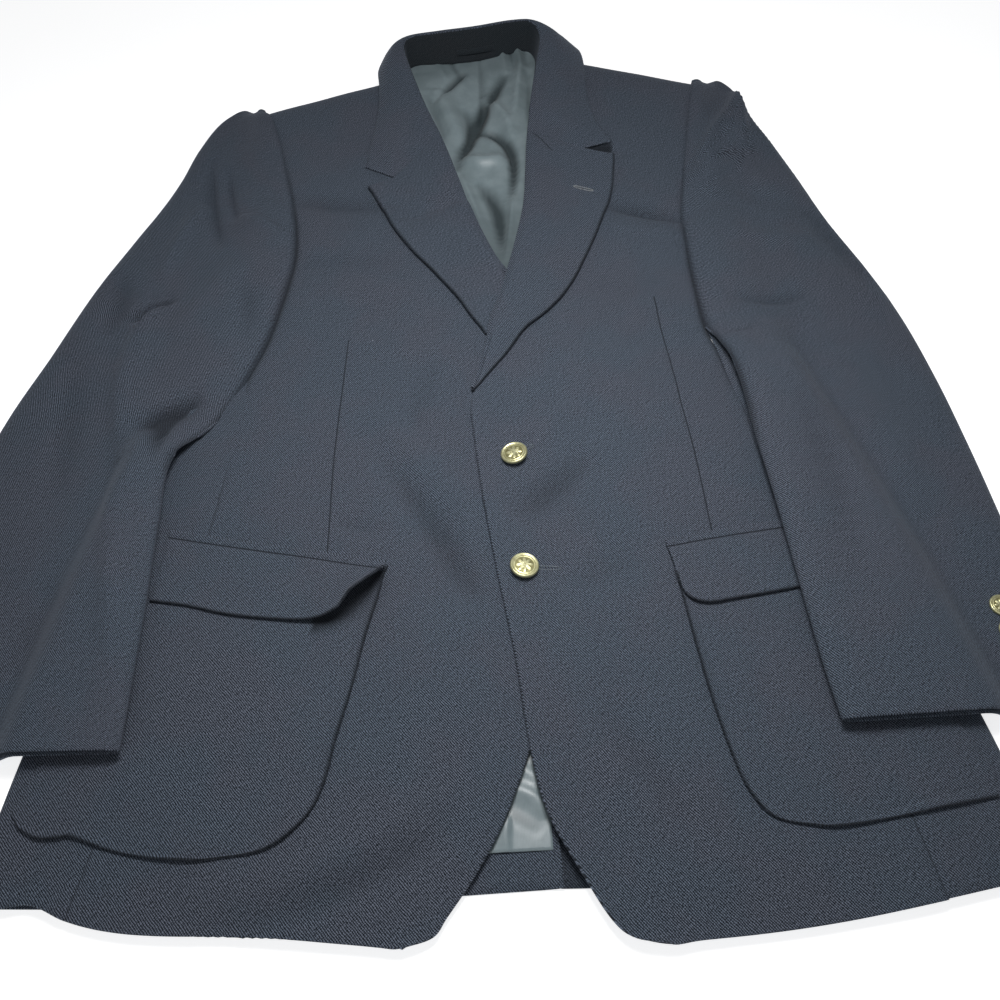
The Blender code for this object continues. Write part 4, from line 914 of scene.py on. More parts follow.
def runs(grid, axis):
    """Distance along a grid's rows or columns, as the cloth is measured."""
    steps = np.linalg.norm(np.diff(grid, axis=axis), axis=2)
    start = np.zeros((1, grid.shape[1])) if axis == 0 else np.zeros((grid.shape[0], 1))
    return np.concatenate((start, np.cumsum(steps, axis=axis)), axis=axis)


def turned_grain(grid, degrees):
    """The cloth's own coordinates on a grid, turned against its rows."""
    along = runs(grid, 0).mean(axis=1)[:, None] + 0.0 * grid[:, :, 0]
    across = runs(grid, 1)
    turn = radians(degrees)
    return np.dstack((across * cos(turn) - along * sin(turn), across * sin(turn) + along * cos(turn)))


def plan_grain(grid, degrees):
    """Cloth coordinates seen from above, turned against the body's."""
    turn = radians(degrees)
    x, y = grid[:, :, 0], grid[:, :, 1]
    return np.dstack((x * cos(turn) - y * sin(turn), x * sin(turn) + y * cos(turn)))


rows = 230
rails = smooth_rows(COLLAR, rows)
crease, bend = rails[:, 0:3], rails[:, 3:5]
edge, seam = rails[:, 5:8], rails[:, 8:11]
across = np.linspace(0.0, 1.0, 34) ** 1.25
fall = np.zeros((rows, len(across), 3))
for j, share in enumerate(across):
    near = crease[:, 0:2] + (bend - crease[:, 0:2]) * min(share / LAPEL_BEND, 1.0)
    far = (edge[:, 0:2] - bend) * max((share - LAPEL_BEND) / (1 - LAPEL_BEND), 0.0)
    fall[:, j, 0:2] = near + far
    drop = crease[:, 2] - edge[:, 2]
    bulge = np.clip(drop * 0.30, 0.0, COLLAR_BULGE)
    fall[:, j, 2] = crease[:, 2] - drop * share**1.15 + bulge * sin(pi * share) * 0.9
rolled = smoothstep(0.10, 0.0, across)[None, :]
fall[:, :, 2] -= CREASE_ROLL * rolled**2
from_left = runs(fall, 0)
from_right = from_left[-1:] - from_left
sewn_part = smoothstep(LAPEL_BEND + 0.03, LAPEL_BEND - 0.03, across)[None, :]
for from_end, height_of in ((from_left, left_front_height), (from_right, right_front_height)):
    fall[:, :, 1] -= GORGE_TUCK * falloff(from_end, GORGE_TUCK_WIDTH) * sewn_part
    flush = height_of(fall[:, :, 0], fall[:, :, 1]) + LAYER + RESTING_GAP
    flush = flush + LAPEL_PUFF * falloff(across - PUFF_PLACE, PUFF_WIDTH)[None, :]
    flush = flush - GORGE_DEPTH * falloff(from_end, GORGE_WIDTH) * sewn_part
    near_end = smoothstep(COLLAR_END, 0.002, from_end)
    fall[:, :, 2] += (flush - fall[:, :, 2]) * near_end
collar = cloth_piece("collar_fall_cloth", wool_look, fall, WOOL,
                     grain=plan_grain(fall, COLLAR_GRAIN_TURN))
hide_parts("collar_fall")

stand_top = crease - np.array((0.0, 0.0, WOOL + STAND_BELOW_CREASE))
share = np.linspace(0.0, 1.0, 12)[None, :, None]
stand = seam[:, None, :] + (stand_top - seam)[:, None, :] * share
push = NECK_MIDDLE - stand[:, :, 0:2]
tuck = STAND_TUCK_AT_NECK + (STAND_TUCK_AT_CREASE - STAND_TUCK_AT_NECK) * share
stand[:, :, 0:2] += tuck * push / np.linalg.norm(push, axis=2, keepdims=True)
stand = stand[STAND_END_ROWS:rows - STAND_END_ROWS]
# The stand is a darker copy of the wool twill, painted with the shade that falls inside the neck.
shaded_stand_look = navy_wool("navy_wool_painted_shade", STAND_SHADED_DARK, STAND_SHADED_LIGHT)
band = cloth_piece("collar_stand_cloth", shaded_stand_look, stand, WOOL, (0.0, 1.0, 0.0),
                   turned_grain(stand, 0.0))
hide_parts("collar_stand")


# Hanger loop
# A flat tape on the face of the collar stand, sewn down at both ends, in the stand's wool with the same
# painted shade.
HANGER_LOOP = (
    (-0.034, 0.8408), (-0.024, 0.8415), (-0.015, 0.8427), (-0.005, 0.8447), (0.004, 0.847),
)
HANGER_LOOP_LOW = 0.0355
HANGER_LOOP_WIDTH = 0.0045
HANGER_LOOP_THICKNESS = 0.0008
loop_rows = smooth_rows(HANGER_LOOP, 60)[:, None, :]
share = np.linspace(0.0, 1.0, 9)[None, :]
grid = np.dstack((
    loop_rows[:, :, 0] + 0.0 * share,
    loop_rows[:, :, 1] + share * HANGER_LOOP_WIDTH * 0.5 - 0.0006 * np.sin(pi * share),
    HANGER_LOOP_LOW + share * HANGER_LOOP_WIDTH + 0.0 * loop_rows[:, :, 0],
))
loop = cloth_piece("hanger_loop_tape", shaded_stand_look, grid, HANGER_LOOP_THICKNESS, (0.0, 1.0, 0.0),
                   turned_grain(grid, 0.0))
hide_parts("hanger_loop")


# Lapels
# The facing of each front turns out over the front's edge at a soft roll and lies back on the
# front. Its outer edge is pick stitched and stands slightly off the cloth below.
# Columns: roll x, y, bend x, y at the notch's corner, edge x, y, lip depth
LEFT_LAPEL = (
    (-0.0535, 0.716, -0.099, 0.6565, -0.1228, 0.6425, 0.005),
    (-0.0455, 0.687, -0.092, 0.643, -0.1165, 0.6315, 0.005),
    (-0.037, 0.653, -0.082, 0.621, -0.108, 0.613, 0.005),
    (-0.028, 0.62, -0.07, 0.596, -0.097, 0.586, 0.0048),
    (-0.018, 0.585, -0.055, 0.566, -0.08, 0.557, 0.0045),
    (-0.0065, 0.552, -0.039, 0.537, -0.06, 0.529, 0.0015),
    (0.0055, 0.523, -0.025, 0.508, -0.041, 0.501, -0.0008),
    (0.006, 0.49, -0.016, 0.481, -0.029, 0.477, -0.0008),
    (0.0, 0.458, -0.01, 0.456, -0.016, 0.455, -0.0008),
)
RIGHT_LAPEL = (
    (0.032, 0.71, 0.086, 0.6813, 0.113, 0.668, 0.005),
    (0.03, 0.69, 0.082, 0.66, 0.1106, 0.65, 0.005),
    (0.027, 0.655, 0.076, 0.631, 0.105, 0.617, 0.005),
    (0.023, 0.615, 0.068, 0.599, 0.095, 0.589, 0.0045),
    (0.0135, 0.57, 0.056, 0.56, 0.081, 0.554, 0.004),
    (0.0045, 0.535, 0.041, 0.521, 0.061, 0.512, 0.003),
    (-0.0035, 0.505, 0.024, 0.489, 0.039, 0.479, 0.0015),
    (-0.0125, 0.478, 0.0055, 0.467, 0.0165, 0.46, 0.0012),
    (-0.018, 0.45, -0.007, 0.44, -0.0005, 0.435, 0.0012),
    (-0.0245, 0.425, -0.02, 0.418, -0.017, 0.414, 0.0012),
    (-0.029, 0.408, -0.027, 0.4045, -0.0256, 0.4025, 0.0008),
    (-0.0312, 0.399, -0.0308, 0.398, -0.0304, 0.3975, 0.0004),
)
RIGHT_GORGE = ((0.0400, 0.7010), (0.0460, 0.6930), (0.0520, 0.6830))
LAPEL_EDGE_LIFT = 0.0022
FREE_EDGE_SHADE = 0.0009
FREE_EDGE_SHADOW_STRENGTH = 0.9
TUCKED_LAYERS = 2.6
ROLL_SHARE = 0.3
BEAD_LIMITS = (0.0006, 0.0035)
START_LIMITS = (0.0006, 0.0030)
LAPEL_GRAIN_TURN = 20.0


def under_right_lapel(x, y):
    """1 where the left lapel runs on under the right one, 0 outside its roll line."""
    roll_line = np.array(RIGHT_LAPEL)[::-1]
    edge_x = np.interp(y, roll_line[:, 1], roll_line[:, 0])
    return smoothstep(-0.0015, 0.0035, x - edge_x) * smoothstep(0.560, 0.545, y)


for side, table, height_of, sign, gorge in (
    ("left", LEFT_LAPEL, left_front_height, -1, None),
    ("right", RIGHT_LAPEL, right_front_height, 1, RIGHT_GORGE),
):
    rows = 200
    knots = np.array((0.0, 0.12, 0.28, 0.45, LAPEL_BEND, 0.8, 1.0))
    plan = plan_grid(np.array(table)[:, :6], rows, knots, LAPEL_BEND)
    lip = smooth_rows(np.array(table)[:, 6:7], rows)[:, 0]
    width = np.linalg.norm(plan[:, -1] - plan[:, 0], axis=1)
    full = smoothstep(0.0, 0.035, width)
    front = height_of(plan[:, :, 0], plan[:, :, 1])
    puff = LAPEL_PUFF * falloff(knots - PUFF_PLACE, PUFF_WIDTH)
    free = LAPEL_EDGE_LIFT * smoothstep(0.7, 1.0, knots)
    rise = front + LAYER + RESTING_GAP + (puff + free)[None, :] * full[:, None]
    if side == "left":
        rise = rise - TUCKED_LAYERS * LAYER * under_right_lapel(plan[:, :, 0], plan[:, :, 1])
    sheet = lift(plan, rise)
    start, base = sheet[:, 0].copy(), front[:, 0]
    bead = np.clip(width * ROLL_SHARE, *BEAD_LIMITS)
    roll = np.stack([
        np.stack((start[:, 0] + shift, start[:, 1], z), axis=1)
        for shift, z in (
            (sign * bead * 0.25, base - lip),
            (-sign * 0.0003 + 0.0 * bead, base - lip * 0.3),
            (sign * bead * 0.15, base + LAYER * 0.75),
        )
    ], axis=1)
    sheet[:, 0, 0] += sign * np.clip(width * ROLL_SHARE, *START_LIMITS)
    coarse = np.concatenate((roll, sheet), axis=1)
    grid = smooth_rows(coarse.transpose(1, 0, 2), 58).transpose(1, 0, 2)
    x, y = grid[:, :, 0], grid[:, :, 1]
    across = runs(grid, 1)
    from_edge = across[:, -1:] - across
    marks = sewn_lines(x, y, (gorge,)) if gorge else {}
    # Painted shadow along the lapel's raised free edge.
    marks["crease"] = FREE_EDGE_SHADOW_STRENGTH * falloff(from_edge, FREE_EDGE_SHADE)
    marks["stitch"] = from_edge - EDGE_STITCH_INSET
    marks["stitch_on"] = (np.abs(from_edge - EDGE_STITCH_INSET) < 0.008) & (across[:, -1:] > 0.02)
    marks["stitch_run"] = runs(grid, 0)[:, -1:]
    lapel = cloth_piece("lapel_cloth_" + side, wool_look, grid, WOOL,
                        grain=plan_grain(grid, LAPEL_GRAIN_TURN * sign), marks=marks)
    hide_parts("lapel_" + side)


# Sleeves
# Each sleeve is a top sleeve and an under sleeve of wool, sewn along both edges of the
# flattened tube and set into the armhole. The cloth creases at the elbow and below the cap.
# Columns: inner x, y, outer x, y, seat under the inner edge, loft, armhole share
LEFT_SLEEVE = (
    (-0.241, 0.786, -0.259, 0.8005, 0.0, 0.0185, 1.0),
    (-0.223, 0.742, -0.2865, 0.7725, 0.0, 0.02, 1.0),
    (-0.2085, 0.683, -0.303, 0.732, 0.0, 0.0205, 1.0),
    (-0.1965, 0.627, -0.3135, 0.686, 0.0, 0.02, 1.0),
    (-0.19, 0.574, -0.3285, 0.642, 0.0, 0.019, 1.0),
    (-0.1935, 0.53, -0.3465, 0.599, 0.0, 0.018, 1.0),
    (-0.2075, 0.456, -0.3695, 0.54, 0.0, 0.017, 1.0),
    (-0.2345, 0.386, -0.391, 0.466, 0.001, 0.016, 0.9),
    (-0.259, 0.339, -0.412, 0.395, 0.019, 0.015, 0.0),
    (-0.26, 0.283, -0.424, 0.33, 0.019, 0.014, 0.0),
    (-0.258, 0.22, -0.427, 0.255, 0.0182, 0.013, 0.0),
    (-0.257, 0.15, -0.418, 0.175, 0.0175, 0.012, 0.0),
    (-0.257, 0.117, -0.408, 0.122, 0.017, 0.011, 0.0),
)
RIGHT_SLEEVE = (
    (0.212, 0.794, 0.2345, 0.804, 0.0, 0.0185, 1.0),
    (0.1985, 0.738, 0.2525, 0.777, 0.0, 0.02, 1.0),
    (0.1855, 0.674, 0.257, 0.728, 0.0, 0.0205, 1.0),
    (0.176, 0.629, 0.2725, 0.683, 0.0, 0.02, 1.0),
    (0.1685, 0.585, 0.2845, 0.644, 0.0, 0.019, 1.0),
    (0.1665, 0.522, 0.3, 0.58, 0.0, 0.018, 1.0),
    (0.168, 0.464, 0.319, 0.517, 0.0, 0.017, 1.0),
    (0.1725, 0.433, 0.333, 0.455, 0.012, 0.016, 0.3),
    (0.179, 0.395, 0.341, 0.39, 0.0185, 0.015, 0.0),
    (0.181, 0.327, 0.345, 0.325, 0.019, 0.0145, 0.0),
    (0.184, 0.264, 0.347, 0.262, 0.0185, 0.014, 0.0),
    (0.186, 0.203, 0.348, 0.2, 0.0178, 0.013, 0.0),
    (0.188, 0.15, 0.346, 0.15, 0.0174, 0.012, 0.0),
    (0.191, 0.113, 0.342, 0.115, 0.017, 0.011, 0.0),
)
SIDE_FOLD = (
    (0.03, -0.34, 0.298), (0.09, -0.333, 0.289), (0.12, -0.327, 0.283), (0.25, -0.305, 0.257),
    (0.33, -0.286, 0.237), (0.42, -0.272, 0.215),
)
LEFT_SLEEVE_FOLDS = (
    (-0.284, 0.714, -0.272, 0.642, -0.256, 0.578, 0.003, 0.009, -0.005, 1.3),
    (-0.264, 0.694, -0.256, 0.65, -0.246, 0.612, 0.003, 0.004, -0.0045, 1.2),
    (-0.244, 0.618, -0.218, 0.604, -0.192, 0.584, 0.003, 0.012, 0.005, 1.3),
    (-0.276, 0.64, -0.293, 0.598, -0.304, 0.54, 0.003, 0.016, 0.0048, 1.3),
    (-0.328, 0.494, -0.311, 0.511, -0.29, 0.516, 0.006, 0.005, -0.0076, 1.5),
    (-0.284, 0.508, -0.307, 0.501, -0.315, 0.48, 0.006, 0.003, 0.0052, 1.2),
    (-0.314, 0.492, -0.32, 0.425, -0.303, 0.34, 0.02, 0.006, 0.0052, 1.4),
    (-0.31, 0.39, -0.288, 0.25, -0.262, 0.146, 0.022, 0.007, 0.0038, 1.5),
    (-0.304, 0.378, -0.28, 0.388, -0.248, 0.404, 0.008, 0.014, -0.009, 1.5),
    (-0.279, 0.396, -0.274, 0.362, -0.264, 0.318, 0.006, 0.008, -0.008, 1.6),
    (-0.35, 0.56, -0.34, 0.52, -0.348, 0.47, 0.01, 0.012, -0.0034, 2.0),
    (-0.37, 0.46, -0.355, 0.38, -0.35, 0.29, 0.016, 0.014, -0.0028, 2.0),
    (-0.24, 0.56, -0.262, 0.52, -0.29, 0.47, 0.014, 0.012, 0.0028, 2.0),
    (-0.236, 0.54, -0.222, 0.5, -0.222, 0.45, 0.01, 0.012, -0.0026, 2.0),
    (-0.33, 0.24, -0.345, 0.2, -0.34, 0.15, 0.014, 0.016, -0.0018, 2.0),
)
RIGHT_SLEEVE_FOLDS = (
    (0.256, 0.768, 0.214, 0.694, 0.172, 0.62, 0.06, 0.007, 0.0104, 1.5),
    (0.249, 0.77, 0.246, 0.72, 0.236, 0.664, 0.004, 0.011, 0.0052, 1.3),
    (0.16, 0.472, 0.17, 0.456, 0.184, 0.46, 0.006, 0.003, 0.0034, 1.4),
    (0.172, 0.446, 0.186, 0.44, 0.21, 0.446, 0.004, 0.006, -0.003, 1.6),
    (0.205, 0.566, 0.24, 0.55, 0.28, 0.556, 0.01, 0.006, 0.003, 1.7),
    (0.27, 0.61, 0.298, 0.55, 0.318, 0.48, 0.012, 0.014, -0.0036, 2.0),
    (0.186, 0.486, 0.228, 0.476, 0.27, 0.49, 0.01, 0.007, -0.0034, 1.8),
    (0.215, 0.64, 0.236, 0.61, 0.268, 0.6, 0.012, 0.012, -0.0024, 2.0),
    (0.22, 0.4, 0.226, 0.3, 0.222, 0.18, 0.018, 0.016, -0.0026, 2.0),
    (0.27, 0.42, 0.282, 0.34, 0.286, 0.26, 0.02, 0.02, 0.0026, 2.0),
)
ARMHOLE_TUCK = 0.0028
HEAD_ROUND = 0.024
SLEEVE_FOLD_GAIN = 1.5
SLEEVE_FOLD_DEPTH = 0.0110
EDGE_SHARE = 0.12
SEAM_LINE_SINK = 0.0006
SEAM_SHADE_WIDTH = 0.0032
SEAM_SHADE_DEPTH = 0.0043
LOWEST_TOP = 0.0045
HEAD_RISE = 0.0018
HEAD_RISE_LENGTH = 0.045
CAP_PUFF = 0.0025
SEAM_SWELL = 0.0008
LOW_ARM_SWELL = 0.0036
SWELL_START = 0.0060
SWELL_REACH = 0.060
SINK_WIDTH = 0.0030
EASE_HEIGHT = 0.00035
SLEEVE_SHADE_STRENGTH = 0.8


def sleeve_sections(table, rows, across, side, fold_table):
    """Outer points of the sleeve's upper and lower cloth, the height where both meet, where
    they meet, and the shade painted in the upper cloth's troughs and along its seam."""
    rails = smooth_rows(table, rows)
    rails[:, 0] -= side * ARMHOLE_TUCK * np.clip(rails[:, 6], 0.0, 1.0)
    seat = np.maximum(rails[:, 4:5], 0.0)
    half = rails[:, 5:6] * 0.5
    loft = rails[:, 5:6]
    armhole = np.clip(rails[:, 6:7], 0.0, 1.0)
    inner, outer = rails[:, None, 0:2], rails[:, None, 2:4]
    plan = inner + (outer - inner) * across[None, :, None]
    x, y = plan[:, :, 0], plan[:, :, 1]
    seam = LEFT_SHOULDER if side < 0 else RIGHT_SHOULDER
    beyond = side * (x - table_value(SIDE_FOLD, 1 if side < 0 else 2, y))
    base = seat * smoothstep(0.028, -0.003, beyond)
    near_edge = np.clip(1.0 - across / EDGE_SHARE, 0.0, 1.0)[None, :] * (1.0 - armhole)
    far_edge = np.clip(1.0 - (1.0 - across) / EDGE_SHARE, 0.0, 1.0)[None, :]
    from_head = runs(lift(plan, 0.0 * x), 0)
    head_edge = np.clip(1.0 - from_head / HEAD_ROUND, 0.0, 1.0)
    head_edge = head_edge * smoothstep(0.0, 0.70, across)[None, :]
    nearest = np.maximum(np.maximum(near_edge, far_edge), head_edge * armhole)
    round_off = np.sqrt(np.maximum(1.0 - nearest**2, 0.0))
    x_seam, y_seam = x[:, 0:1], y[:, 0:1]
    front = body_top(x_seam, y_seam) - shoulder_dip(x_seam, y_seam, seam)
    front = front + HEAD_RISE * smoothstep(HEAD_RISE_LENGTH, 0.0, from_head[:, :1])
    gathered = front + (loft - front) * smoothstep(0.0, 0.8, across)[None, :]
    below_head = smoothstep(0.0, 0.06, from_head)
    puff = CAP_PUFF * np.sin(pi * np.clip(across / 0.5, 0, 1))[None, :] ** 2 * below_head
    width = np.linalg.norm(plan[:, -1] - plan[:, 0], axis=1)[:, None]
    from_seam = across[None, :] * width
    low_arm = smoothstep(0.66, 0.52, y_seam)
    sunk = armhole_groove("left" if side < 0 else "right", y_seam) + SEAM_LINE_SINK
    sunk = sunk * (0.4 + 0.6 * below_head[:, :1])
    swell = (SEAM_SWELL + LOW_ARM_SWELL * low_arm) * (1.0 - np.exp(-from_seam / SWELL_START))
    swell = swell * falloff(from_seam, SWELL_REACH) - sunk * np.exp(-from_seam / SINK_WIDTH)
    arm_top = half + (gathered + puff + swell - half) * round_off
    tube_top = base + half + half * round_off
    top = arm_top * armhole + tube_top * (1.0 - armhole)
    ease = EASE_HEIGHT * np.sin(70.0 * y + 30.0 * x) * np.sin(40.0 * x - 25.0 * y)
    calm = smoothstep(0.0, 0.03, from_seam) * round_off
    slack = SLEEVE_FOLD_GAIN * folds(fold_table, x, y) * np.minimum(round_off, 0.05 + 0.95 * calm)
    top = np.maximum(top + slack + ease * calm, base + np.minimum(half, LOWEST_TOP))
    upper = np.dstack((x, y, top))
    low = base + half * (1.0 - round_off)
    leaving = smoothstep(0.99, 0.80, armhole) * smoothstep(0.0, 0.05, armhole)
    joined = np.clip(1.0 - across / EDGE_SHARE, 0.0, 1.0)[None, :] * leaving
    low = low + (top[:, :1] - low) * joined
    lower = np.dstack((x, y, low))
    near_half = base + half + (top[:, :1] - base - half) * leaving
    middle = np.where(across[None, :] < 0.5, near_half, base + half)
    open_edge = (across < 0.13)[None, :] & (armhole < 0.5)
    rim = (across > 0.87)[None, :] | open_edge | (head_edge > 0.86)
    # Painted shadow along the seam where the sleeve's edge turns under, strongest low on the arm, and
    # painted shade in the folds' troughs.
    lower_edge = 0.9 * smoothstep(0.30, 0.36, y_seam) * smoothstep(0.50, 0.44, y_seam)
    seam_shadow = np.maximum(sunk / SEAM_SHADE_DEPTH, lower_edge)
    seam_shadow = seam_shadow * falloff(from_seam, SEAM_SHADE_WIDTH)
    shade = np.maximum(crease_shade(slack, SLEEVE_FOLD_DEPTH), seam_shadow)
    return upper, lower, middle, rim, shade


def sleeve_grain(grid, side):
    """Cloth coordinates that follow the sleeve's length."""
    middle = grid.shape[1] // 2
    along = runs(grid, 0)[:, middle][:, None] + 0.0 * grid[:, :, 0]
    across = runs(grid, 1)
    return np.dstack((side * (across - across[:, middle:middle + 1]), -along))


sleeve_share = np.linspace(0.0, 1.0, 64)
sleeve_across = 0.5 - 0.5 * np.cos(pi * (0.04 + 0.92 * sleeve_share))
sleeve_across = (sleeve_across - sleeve_across[0]) / (sleeve_across[-1] - sleeve_across[0])
for side, table, sign, fold_table in (
    ("left", LEFT_SLEEVE, -1, LEFT_SLEEVE_FOLDS),
    ("right", RIGHT_SLEEVE, 1, RIGHT_SLEEVE_FOLDS),
):
    upper, lower, middle, rim, shade = sleeve_sections(table, 200, sleeve_across, sign, fold_table)
    upper_inner = upper + facing(upper, (0, 0, -1)) * WOOL
    lower_inner = lower + facing(lower, (0, 0, 1)) * WOOL
    for grid, way in ((upper, 1), (upper_inner, 1), (lower, -1), (lower_inner, -1)):
        limit = way * (middle + way * SEAM * 0.3)
        height = way * grid[:, :, 2]
        grid[:, :, 2] = way * np.where(rim, np.maximum(height, limit), height)
    # The top sleeve carries the painted shade; the under sleeve none.
    for word, outer, inner, dark in (
        ("top", upper, upper_inner, SLEEVE_SHADE_STRENGTH * shade), ("under", lower, lower_inner, 0.0 * shade),
    ):
        sleeve = cloth_piece(word + "_sleeve_cloth_" + side, wool_look, outer, WOOL,
                             grain=sleeve_grain(outer, sign), inner=inner, marks={"crease": dark})
        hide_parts(word + "_sleeve_" + side)


# Patch pockets
# A wide rounded wool patch on each side, sewn flat over the front and the side body.
# Columns: inner x, y, outer x, y
LEFT_PATCH = (
    (-0.095, 0.242, -0.272, 0.2805),
    (-0.099, 0.233, -0.277, 0.255),
    (-0.108, 0.193, -0.287, 0.21),
    (-0.116, 0.156, -0.297, 0.17),
    (-0.124, 0.123, -0.306, 0.135),
    (-0.131, 0.092, -0.314, 0.11),
    (-0.142, 0.072, -0.319, 0.095),
    (-0.164, 0.0568, -0.323, 0.086),
    (-0.2, 0.0527, -0.315, 0.076),
)
RIGHT_PATCH = (
    (0.104, 0.248, 0.232, 0.266),
    (0.107, 0.233, 0.235, 0.25),
    (0.11, 0.203, 0.241, 0.215),
    (0.113, 0.168, 0.249, 0.18),
    (0.117, 0.135, 0.257, 0.145),
    (0.123, 0.1, 0.265, 0.115),
    (0.13, 0.076, 0.272, 0.095),
    (0.143, 0.06, 0.277, 0.085),
    (0.17, 0.054, 0.275, 0.068),
)
# Lower edges, with the left one's wave. Columns: x, y
PATCH_HEM = {
    "left": (
        (-0.3272, 0.0827), (-0.3156, 0.0763), (-0.3023, 0.0699), (-0.2889, 0.0696),
        (-0.2831, 0.0702), (-0.2691, 0.0654), (-0.2561, 0.0608), (-0.2335, 0.0558), (-0.2, 0.0527),
    ),
    "right": (
        (0.17, 0.054), (0.1887, 0.0545), (0.2152, 0.0572), (0.2421, 0.0612), (0.275, 0.0655),
    ),
}
PATCH_EDGE_LIFT = 0.0014
PATCH_LIFT_WIDTH = 0.0040
PATCH_STITCH_INSET = 0.0065
PATCH_STITCH_WIDTH = 0.0016
PATCH_STITCH_DEPTH = 0.0005
PATCH_EDGE_SHADE = 0.0011
CORNER_SHADE_WIDTH = 0.0065
# Where shadow is painted on the left pocket under the flap's lifted corner. Columns: x, y
LIFTED_CORNER = ((-0.1420, 0.2010), (-0.1280, 0.2060), (-0.1160, 0.2190), (-0.1020, 0.2350))

for side, table in (("left", LEFT_PATCH), ("right", RIGHT_PATCH)):
    rows, columns = 96, 84
    across = np.linspace(0.0, 1.0, columns)
    plan = plan_grid(table, rows, across)
    hem = smooth_rows(PATCH_HEM[side], 90)
    lowest = plan[-1:, :, :]
    shift = np.interp(lowest[:, :, 0], hem[:, 0], hem[:, 1]) - lowest[:, :, 1]
    plan[:, :, 1] += shift * smoothstep(0.72, 1.0, np.linspace(0.0, 1.0, rows))[:, None] ** 1.5
    sheet = lift(plan, 0.0 * plan[:, :, 0])
    from_front, down = runs(sheet, 1), runs(sheet, 0)
    from_edge = np.minimum(from_front, down[-1:] - down)
    curl = 0.5 + 0.5 * np.sin(95.0 * plan[:, :, 0] + 60.0 * plan[:, :, 1])
    rise = body_top(plan[:, :, 0], plan[:, :, 1]) + LAYER
    rise = rise + PATCH_EDGE_LIFT * (0.6 + curl) * falloff(from_edge, PATCH_LIFT_WIDTH)
    off_stitch = from_edge - PATCH_STITCH_INSET
    rise = rise - PATCH_STITCH_DEPTH * falloff(off_stitch, PATCH_STITCH_WIDTH)
    # Painted shadow along the patch's raised edge, and on the left one under the flap's lifted corner.
    shade = FREE_EDGE_SHADOW_STRENGTH * falloff(from_edge, PATCH_EDGE_SHADE)
    if side == "left":
        corner = sewn_lines(plan[:, :, 0], plan[:, :, 1], (LIFTED_CORNER,))
        dark = falloff(corner["seam"], CORNER_SHADE_WIDTH) * corner["seam_on"]
        shade = np.maximum(shade, dark)
    patch = cloth_piece("patch_pocket_cloth_" + side, wool_look, lift(plan, rise), WOOL,
                        marks={"crease": shade})
    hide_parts("patch_pocket_" + side)


# Pocket flaps
# A wool flap hangs from a narrow welt over each patch pocket. The left one's front corner has
# curled up, so its lower edge runs in a double curve.
# Columns: top x, y, lower x, y, lift of the lower edge
LEFT_FLAP = (
    (-0.256, 0.281, -0.26, 0.224, 0.0),
    (-0.232, 0.275, -0.234, 0.219, 0.0),
    (-0.205, 0.269, -0.205, 0.211, 0.0004),
    (-0.178, 0.263, -0.176, 0.206, 0.0006),
    (-0.15, 0.257, -0.148, 0.203, 0.0026),
    (-0.126, 0.2515, -0.129, 0.2055, 0.011),
    (-0.108, 0.2475, -0.117, 0.2185, 0.018),
    (-0.096, 0.245, -0.0985, 0.237, 0.01),
)
RIGHT_FLAP = (
    (0.1035, 0.251, 0.108, 0.224, 0.0006),
    (0.112, 0.252, 0.111, 0.208, 0.0012),
    (0.126, 0.254, 0.124, 0.2005, 0.001),
    (0.15, 0.257, 0.149, 0.203, 0.0006),
    (0.176, 0.26, 0.176, 0.2065, 0.0004),
    (0.202, 0.263, 0.203, 0.21, 0.0),
    (0.225, 0.2655, 0.227, 0.213, 0.0),
)
WELT_WIDTH = 0.0060
WELT_SEAM_WIDTH = 0.0018
WELT_SEAM_DEPTH = 0.0007
FLAP_EDGE_LIFT = 0.0008

for side, table in (("left", LEFT_FLAP), ("right", RIGHT_FLAP)):
    rows = 110
    across = np.linspace(0.0, 1.0, 38)
    plan = plan_grid(np.array(table)[:, :4], rows, across)
    raised = np.maximum(smooth_rows(np.array(table)[:, 4:5], rows), 0.0)
    rise = body_top(plan[:, :, 0], plan[:, :, 1]) + 2.0 * LAYER
    rise = rise + (raised + FLAP_EDGE_LIFT) * across[None, :] ** 1.8
    down = np.linalg.norm(plan[:, -1] - plan[:, 0], axis=1)[:, None] * across[None, :]
    # The crease mark paints shadow along the flap's lower edge; the seam mark is the welt's seam line.
    marks = {
        "seam": down - WELT_WIDTH,
        "seam_on": np.where((down < 0.012) & (down > 0.001), 1.0, 0.0),
        "crease": FREE_EDGE_SHADOW_STRENGTH * falloff(down[:, -1:] - down, FREE_EDGE_SHADE),
    }
    rise = rise - WELT_SEAM_DEPTH * falloff(down - WELT_WIDTH, WELT_SEAM_WIDTH)
    flap = cloth_piece("flap_cloth_" + side, wool_look, lift(plan, rise), WOOL, marks=marks)
    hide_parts("flap_" + side)


# Breast welt
# A narrow wool welt closes the breast pocket on the right front, sewn down at both ends.
WELT_FROM, WELT_TO = 0.092, 0.156
WELT_HEIGHT = 0.0235
WELT_PROUD = 0.0007
WELT_SINK = 0.0003
WELT_THICKNESS = 0.0006
WELT_LOW_Y = 0.541
WELT_SLOPE = 0.06
along, share = np.meshgrid(np.linspace(WELT_FROM, WELT_TO, 44), np.linspace(0.0, 1.0, 18), indexing="ij")
y = WELT_LOW_Y + (along - 0.104) * WELT_SLOPE + share * WELT_HEIGHT
soft_ends = np.sin(pi * np.clip((along - WELT_FROM) / (WELT_TO - WELT_FROM), 0.0, 1.0)) ** 0.35
soft_edges = smoothstep(0.0, 0.22, share) * smoothstep(1.0, 0.80, share)
proud = WELT_PROUD * soft_ends * soft_edges - WELT_SINK
rise = body_top(along, y) + proud
